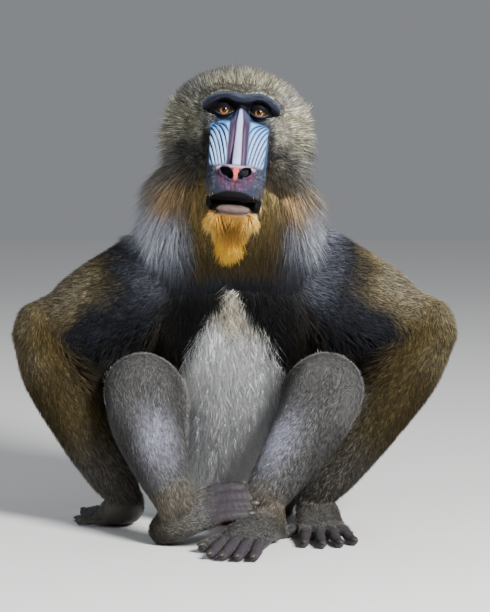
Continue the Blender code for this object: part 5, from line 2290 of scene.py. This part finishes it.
@dataclass
class SkinSample:
    """The skin as arrays: what the coat is sown on."""

    points: Array
    normals: Array
    tris: Array
    areas: Array
    owner: Array
    bare: Array
    wanted: Array
    head: Array
    low: Array

    @staticmethod
    def of(mesh: bpy.types.Mesh, coat: Coat) -> "SkinSample":
        """Read the skin's mesh.

        Args:
            mesh: The skin, in millimetres.
            coat: The coat that will stand on it.

        Returns:
            Its arrays. Wanted is how densely each triangle is sown within its own piece.
        """
        mesh.calc_loop_triangles()
        points, normals = points_of(mesh), normals_of(mesh)
        tris = np.empty(len(mesh.loop_triangles) * 3, np.int32)
        mesh.loop_triangles.foreach_get("vertices", tris)
        tris = tris.reshape(-1, 3)
        corners = points[tris]
        normal = np.cross(corners[:, 1] - corners[:, 0], corners[:, 2] - corners[:, 0])
        areas = np.linalg.norm(normal, axis=1) / 2
        middle = corners.mean(axis=1)
        blend = coat.blended(middle)
        bare = coat.bare(middle, unit(normal), blend.owner)
        length, width = blend.growth.length, blend.growth.width
        wanted = (30.0 / (length * width)) ** 0.8
        head = np.array([isinstance(region, Headwear) for region in coat.wear])[blend.owner]
        low = ease(0, -14, HEAD.to_head(middle)[:, 1])
        return SkinSample(points, normals, tris, areas, blend.owner, bare, wanted, head, low)


# Finishes


@dataclass
class Nodes:
    """A short way to place and join nodes in one tree."""

    tree: bpy.types.NodeTree

    def add(self, kind: str, **settings: object) -> bpy.types.Node:
        """Return a new node of that kind with its settings; a socket's value is given by its name.

        Args:
            kind: The node's kind.
            settings: The settings and the values of sockets, by name.

        Returns:
            The node.
        """
        node = self.tree.nodes.new(kind)
        for name, value in settings.items():
            if hasattr(node, name) and name not in node.inputs:
                setattr(node, name, value)
            else:
                node.inputs[name.replace("_", " ")].default_value = value
        return node

    def join(self, source: bpy.types.NodeSocket, target: bpy.types.NodeSocket) -> None:
        """Join an output to an input."""
        self.tree.links.new(source, target)


def grain_group() -> bpy.types.NodeTree:
    """Build the shared grain: it varies a colour by noise and gives a height for a bump.

    Returns:
        The group, with inputs Place, Colour, Size and Amount, and outputs Colour and Height.
    """
    group = bpy.data.node_groups.new("grain", "ShaderNodeTree")
    for name, kind in (("Place", "NodeSocketVector"), ("Colour", "NodeSocketColor"),
                       ("Size", "NodeSocketFloat"), ("Amount", "NodeSocketFloat")):
        group.interface.new_socket(name, in_out="INPUT", socket_type=kind)
    group.interface.new_socket("Colour", in_out="OUTPUT", socket_type="NodeSocketColor")
    group.interface.new_socket("Height", in_out="OUTPUT", socket_type="NodeSocketFloat")
    nodes = Nodes(group)
    given, result = nodes.add("NodeGroupInput"), nodes.add("NodeGroupOutput")
    noise = nodes.add("ShaderNodeTexNoise", Detail=4.0, Roughness=0.6)
    nodes.join(given.outputs["Place"], noise.inputs["Vector"])
    nodes.join(given.outputs["Size"], noise.inputs["Scale"])
    centred = nodes.add("ShaderNodeMath", operation="SUBTRACT")
    centred.inputs[1].default_value = 0.5
    nodes.join(noise.outputs["Fac"], centred.inputs[0])
    scaled = nodes.add("ShaderNodeMath", operation="MULTIPLY_ADD")
    scaled.inputs[2].default_value = 1.0
    nodes.join(centred.outputs[0], scaled.inputs[0])
    nodes.join(given.outputs["Amount"], scaled.inputs[1])
    product = nodes.add("ShaderNodeVectorMath", operation="SCALE")
    nodes.join(given.outputs["Colour"], product.inputs[0])
    nodes.join(scaled.outputs[0], product.inputs["Scale"])
    nodes.join(product.outputs[0], result.inputs["Colour"])
    nodes.join(noise.outputs["Fac"], result.inputs["Height"])
    return group


@dataclass(frozen=True)
class Finish:
    """A finish that takes its colour from the piece's own attribute and varies it with grain."""

    name: str
    roughness: float
    grain_size: float
    grain_amount: float
    bump: float = 0.0
    sheen: float = 0.0
    gloss: float = 0.3
    coat_weight: float = 0.0
    sheen_roughness: float = 0.5
    coat_roughness: float = 0.02
    bump_depth: float = 0.0006

    def material(self, grain: bpy.types.NodeTree) -> bpy.types.Material:
        """Build the material.

        Args:
            grain: The shared grain group.

        Returns:
            The material.
        """
        made = bpy.data.materials.new(self.name)
        made.use_nodes = True
        nodes = Nodes(made.node_tree)
        shader = made.node_tree.nodes["Principled BSDF"]
        for socket, value in (("Roughness", self.roughness), ("Sheen Weight", self.sheen),
                              ("Sheen Roughness", self.sheen_roughness), ("Specular IOR Level", self.gloss),
                              ("Coat Weight", self.coat_weight), ("Coat Roughness", self.coat_roughness)):
            shader.inputs[socket].default_value = value
        place = nodes.add("ShaderNodeTexCoord")
        colour = nodes.add("ShaderNodeAttribute", attribute_name=COLOURS)
        effect = nodes.add("ShaderNodeGroup", node_tree=grain)
        effect.inputs["Size"].default_value = self.grain_size
        effect.inputs["Amount"].default_value = self.grain_amount
        nodes.join(place.outputs["Object"], effect.inputs["Place"])
        nodes.join(colour.outputs["Color"], effect.inputs["Colour"])
        nodes.join(effect.outputs["Colour"], shader.inputs["Base Color"])
        if self.bump:
            relief = nodes.add("ShaderNodeBump", Strength=self.bump, Distance=self.bump_depth)
            nodes.join(effect.outputs["Height"], relief.inputs["Height"])
            nodes.join(relief.outputs["Normal"], shader.inputs["Normal"])
        return made


FINISHES = {
    "fur": Finish("fur", 0.8, 220.0, 0.5, sheen=0.03, gloss=0.1),
    "skin": Finish("skin", 0.46, 620.0, 0.3, bump=0.5, gloss=0.06),
    "eye": Finish("eye", 0.6, 900.0, 0.5, gloss=0.0, coat_weight=0.55),
    "nail": Finish("nail", 0.42, 380.0, 0.35, bump=0.3, gloss=0.4),
}


# Eyes and nails


def finished(name: str, shell: Shell, colours: Array) -> bpy.types.Object:
    """Make a smooth, coloured piece of a shell.

    Args:
        name: The piece's name.
        shell: The shell, in millimetres.
        colours: A colour for each of its points.

    Returns:
        The object, in the row frame.
    """
    mesh = mesh_of(name, (shell.points - SEAT) * MM, [shell.quads, shell.tris])
    colours_into(mesh, colours)
    mesh.shade_smooth()
    return linked(name, mesh)


@dataclass
class Eyes:
    """The eyeballs: amber irises with a round pupil in a dark ball, and the bulge of the cornea."""

    iris: float = 5.8
    pupil: float = 3.1
    ball: float = 11.6
    cornea: float = 0.9

    def build(self, side: str) -> bpy.types.Object:
        """Build one eyeball.

        The surface is a sphere about the gaze, of polar angle v and turn t. Within 0.6 mm of the iris
        it bulges by cornea (1 - (r / (iris + 0.6))^2), r being the distance from the gaze. Rings are
        dense near the iris. The colour is a function of r and t.

        Args:
            side: Which eye.

        Returns:
            The object, in the row frame.
        """
        polar = np.concatenate([np.linspace(0.004, 0.62, 60), np.linspace(0.66, math.pi - 0.04, 26)])
        turn = np.linspace(0.0, 2.0 * np.pi, 96, endpoint=False)
        v, t = np.meshgrid(polar, turn, indexing="ij")
        reach = self.ball * np.sin(v)
        bulge = self.cornea * np.maximum(1 - (reach / (self.iris + 0.6)) ** 2, 0) * (v < 1.5)
        rows = np.stack([reach * np.cos(t), reach * np.sin(t), self.ball * np.cos(v) + bulge], axis=-1)
        shell = closed_rows(rows[::-1], np.array([(0, 0, -self.ball), (0, 0, self.ball + self.cornea)]))
        centre = np.array((SIDES[side] * EYE_ACROSS, 0, EYE_BACK - 0.3))
        placed = Shell(shell.points + centre, shell.quads, shell.tris).moved(HEAD)
        return finished(f"eyeball_{side}", placed, self.colours(shell.points))

    def colours(self, points: Array) -> Array:
        """Colour the eyeball by the distance from its gaze.

        Args:
            points: Places about the eyeball's centre, the gaze along the third axis.

        Returns:
            The colours.
        """
        reach = np.hypot(points[:, 0], points[:, 1]) + 50 * (points[:, 2] < 0)
        turn = np.arctan2(points[:, 1], points[:, 0])
        streak = np.sin(turn * 23 + np.sin(turn * 7) * 2) * 0.5 + np.sin(turn * 41) * 0.3
        share = np.clip((reach - self.pupil) / (self.iris - self.pupil), 0, 1)
        return layered(
            filled(len(points), EyeTone.IRIS),
            (EyeTone.AMBER, ease(0.1, 0.6, share) * (0.7 + 0.3 * streak)),
            (EyeTone.IRIS_RIM, ease(0.62, 0.95, share)),
            (EyeTone.LID_SHADE, 0.95 * ease(-1.5, 1.8, points[:, 1])),
            (EyeTone.PUPIL, ease(self.pupil + 0.35, self.pupil - 0.25, reach)),
            (EyeTone.BALL, ease(self.iris - 0.3, self.iris + 0.4, reach)),
        )


@dataclass
class Nails:
    """The nails: a curved plate on the end of every finger and toe."""

    paws: list[Paw]
    width: float = 4.6
    length: float = 7.4
    thickness: float = 1.5
    ahead: float = 1.5  # how far before the digit's last station a nail's middle lies
    height: float = 0.74  # how high it lies on the digit, as a share of the digit's radius

    def plate(self, paw: Paw, digit: Digit) -> Shell:
        """Make one nail: a lens over a grid of turn and height, bent over the digit's end.

        Args:
            paw: The hand or foot.
            digit: The finger or toe.

        Returns:
            The shell.
        """
        line = np.array(paw.digit_line(digit))[:, :3]
        forward = unit(line[-1] - line[-2])
        _, beside, up = paw.axes()
        across = unit(beside - forward * (beside @ forward))
        out = np.cross(across, forward)
        out = out * (1.0 if out @ up > 0 else -1.0)
        shell = ellipsoid((0, 0, 0), (self.width, self.length, self.thickness), 24, 11)
        local = shell.points
        local[:, 2] -= 0.055 * local[:, 0] ** 2 + 0.03 * np.maximum(local[:, 1], 0) ** 2
        centre = line[-1] + forward * self.ahead + out * (digit.radius * self.height)
        points = centre + local[:, :1] * across + local[:, 1:2] * forward + local[:, 2:] * out
        flip = np.cross(across, forward) @ out < 0
        quads, tris = (shell.quads[:, ::-1], shell.tris[:, ::-1]) if flip else (shell.quads, shell.tris)
        return Shell(points, quads, tris)

    def build(self) -> bpy.types.Object:
        """Build all nails as one piece.

        Returns:
            The object, in the row frame.
        """
        joined = stacked([self.plate(paw, digit) for paw in self.paws for digit in paw.digits])
        joined.points[:, 2] = np.maximum(joined.points[:, 2], FLOOR_CLEARANCE)
        return finished("nails", joined, filled(len(joined.points), Tone.NAIL))


# The studio


@dataclass(frozen=True)
class Lamp:
    """A round soft light: where it hangs, how wide, how strong and what colour it is."""

    name: str
    place: Row
    size: float
    power: float
    colour: Row


LAMPS = (
    Lamp("key", (1.5, -2.4, 1.75), 0.9, 285.0, (1.0, 0.98, 0.96)),
    Lamp("fill", (-2.1, -1.9, 1.2), 1.6, 20.0, (0.92, 0.96, 1.0)),
    Lamp("rim", (-0.6, 1.8, 2.2), 1.2, 11.0, (0.95, 0.97, 1.0)),
)


@dataclass
class Studio:
    """Floor, lights and camera."""

    target: Row = (14.3, -133.0, 298.7)
    distance: float = 3.5
    elevation: float = math.radians(5)
    view_width: float = 0.637
    sensor: float = 36.0
    lit_place: Row = (0, -0.05, 0.3)
    room_colour: Row = (0.72, 0.75, 0.80, 1)
    room_light: float = 0.33
    floor_reach: float = 6.0
    floor_colour: Row = (0.80, 0.80, 0.79, 1)
    floor_roughness: float = 0.85

    def camera(self) -> None:
        """Place the camera at the photograph's angle and framing."""
        data = bpy.data.cameras.new("camera")
        data.sensor_fit = "HORIZONTAL"
        data.sensor_width = self.sensor
        data.lens = data.sensor_width * self.distance / self.view_width
        data.clip_end = 100.0
        made = linked("camera", data)
        back = Vector((0, -math.cos(self.elevation), math.sin(self.elevation)))
        made.location = Vector(self.target) * MM + back * self.distance
        made.rotation_euler = (-back).to_track_quat("-Z", "Y").to_euler()
        bpy.context.scene.camera = made

    def lights(self) -> None:
        """Hang three soft lights and fill the room with pale light."""
        for lamp in LAMPS:
            data = bpy.data.lights.new(lamp.name, "AREA")
            data.shape = "DISK"
            data.size = lamp.size
            data.energy = lamp.power
            data.color = lamp.colour
            made = linked(lamp.name, data)
            made.location = lamp.place
            way = Vector(self.lit_place) - Vector(lamp.place)
            made.rotation_euler = way.to_track_quat("-Z", "Y").to_euler()
        world = bpy.data.worlds.new("room")
        world.use_nodes = True
        background = world.node_tree.nodes["Background"]
        background.inputs["Color"].default_value = self.room_colour
        background.inputs["Strength"].default_value = self.room_light
        bpy.context.scene.world = world

    def floor(self) -> None:
        """Lay a pale, plain floor."""
        reach = self.floor_reach
        corners = np.array([(-reach, -reach, 0), (reach, -reach, 0), (reach, reach, 0), (-reach, reach, 0)])
        made = linked("floor", mesh_of("floor", corners, [np.array([(0, 1, 2, 3)])]))
        finish = bpy.data.materials.new("floor")
        finish.use_nodes = True
        shader = finish.node_tree.nodes["Principled BSDF"]
        shader.inputs["Base Color"].default_value = self.floor_colour
        shader.inputs["Roughness"].default_value = self.floor_roughness
        made.data.materials.append(finish)


def dress(made: bpy.types.Object, material: bpy.types.Material, nodes: list[str]) -> None:
    """Give a finished piece its material and its body, and hide the solids that it stands for.

    Args:
        made: The piece.
        material: Its material.
        nodes: The solids.
    """
    made.data.materials.clear()
    made.data.materials.append(material)
    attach(made, "root")
    if nodes:
        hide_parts(*nodes)
    log.info("%s: %d triangles", made.name, sum(len(face.vertices) - 2 for face in made.data.polygons))


def main() -> None:
    """Build the studio, the skin, the coat, the eyes and the nails."""
    logging.basicConfig(level=logging.INFO, format="%(message)s")
    studio = Studio()
    studio.camera()
    studio.lights()
    studio.floor()
    grain = grain_group()
    materials = {name: finish.material(grain) for name, finish in FINISHES.items()}
    skin = Skin()
    body = skin.build()
    coat = Coat(regions(skin.paws))
    sample = SkinSample.of(body.data, coat)
    colours_into(body.data, coat.paint(sample.points))
    points_into(body.data, (sample.points - SEAT) * MM)
    body.data.shade_smooth()
    flesh = [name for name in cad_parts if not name.startswith("eye_")]
    dress(body, materials["skin"], flesh)
    for piece in COAT_PIECES:
        dress(coat.build(piece, sample), materials["fur"], [])
    eyes = Eyes()
    for side in SIDES:
        dress(eyes.build(side), materials["eye"], [f"eye_{side}"])
    dress(Nails(skin.paws).build(), materials["nail"], [])


if __name__ == "__main__":
    main()
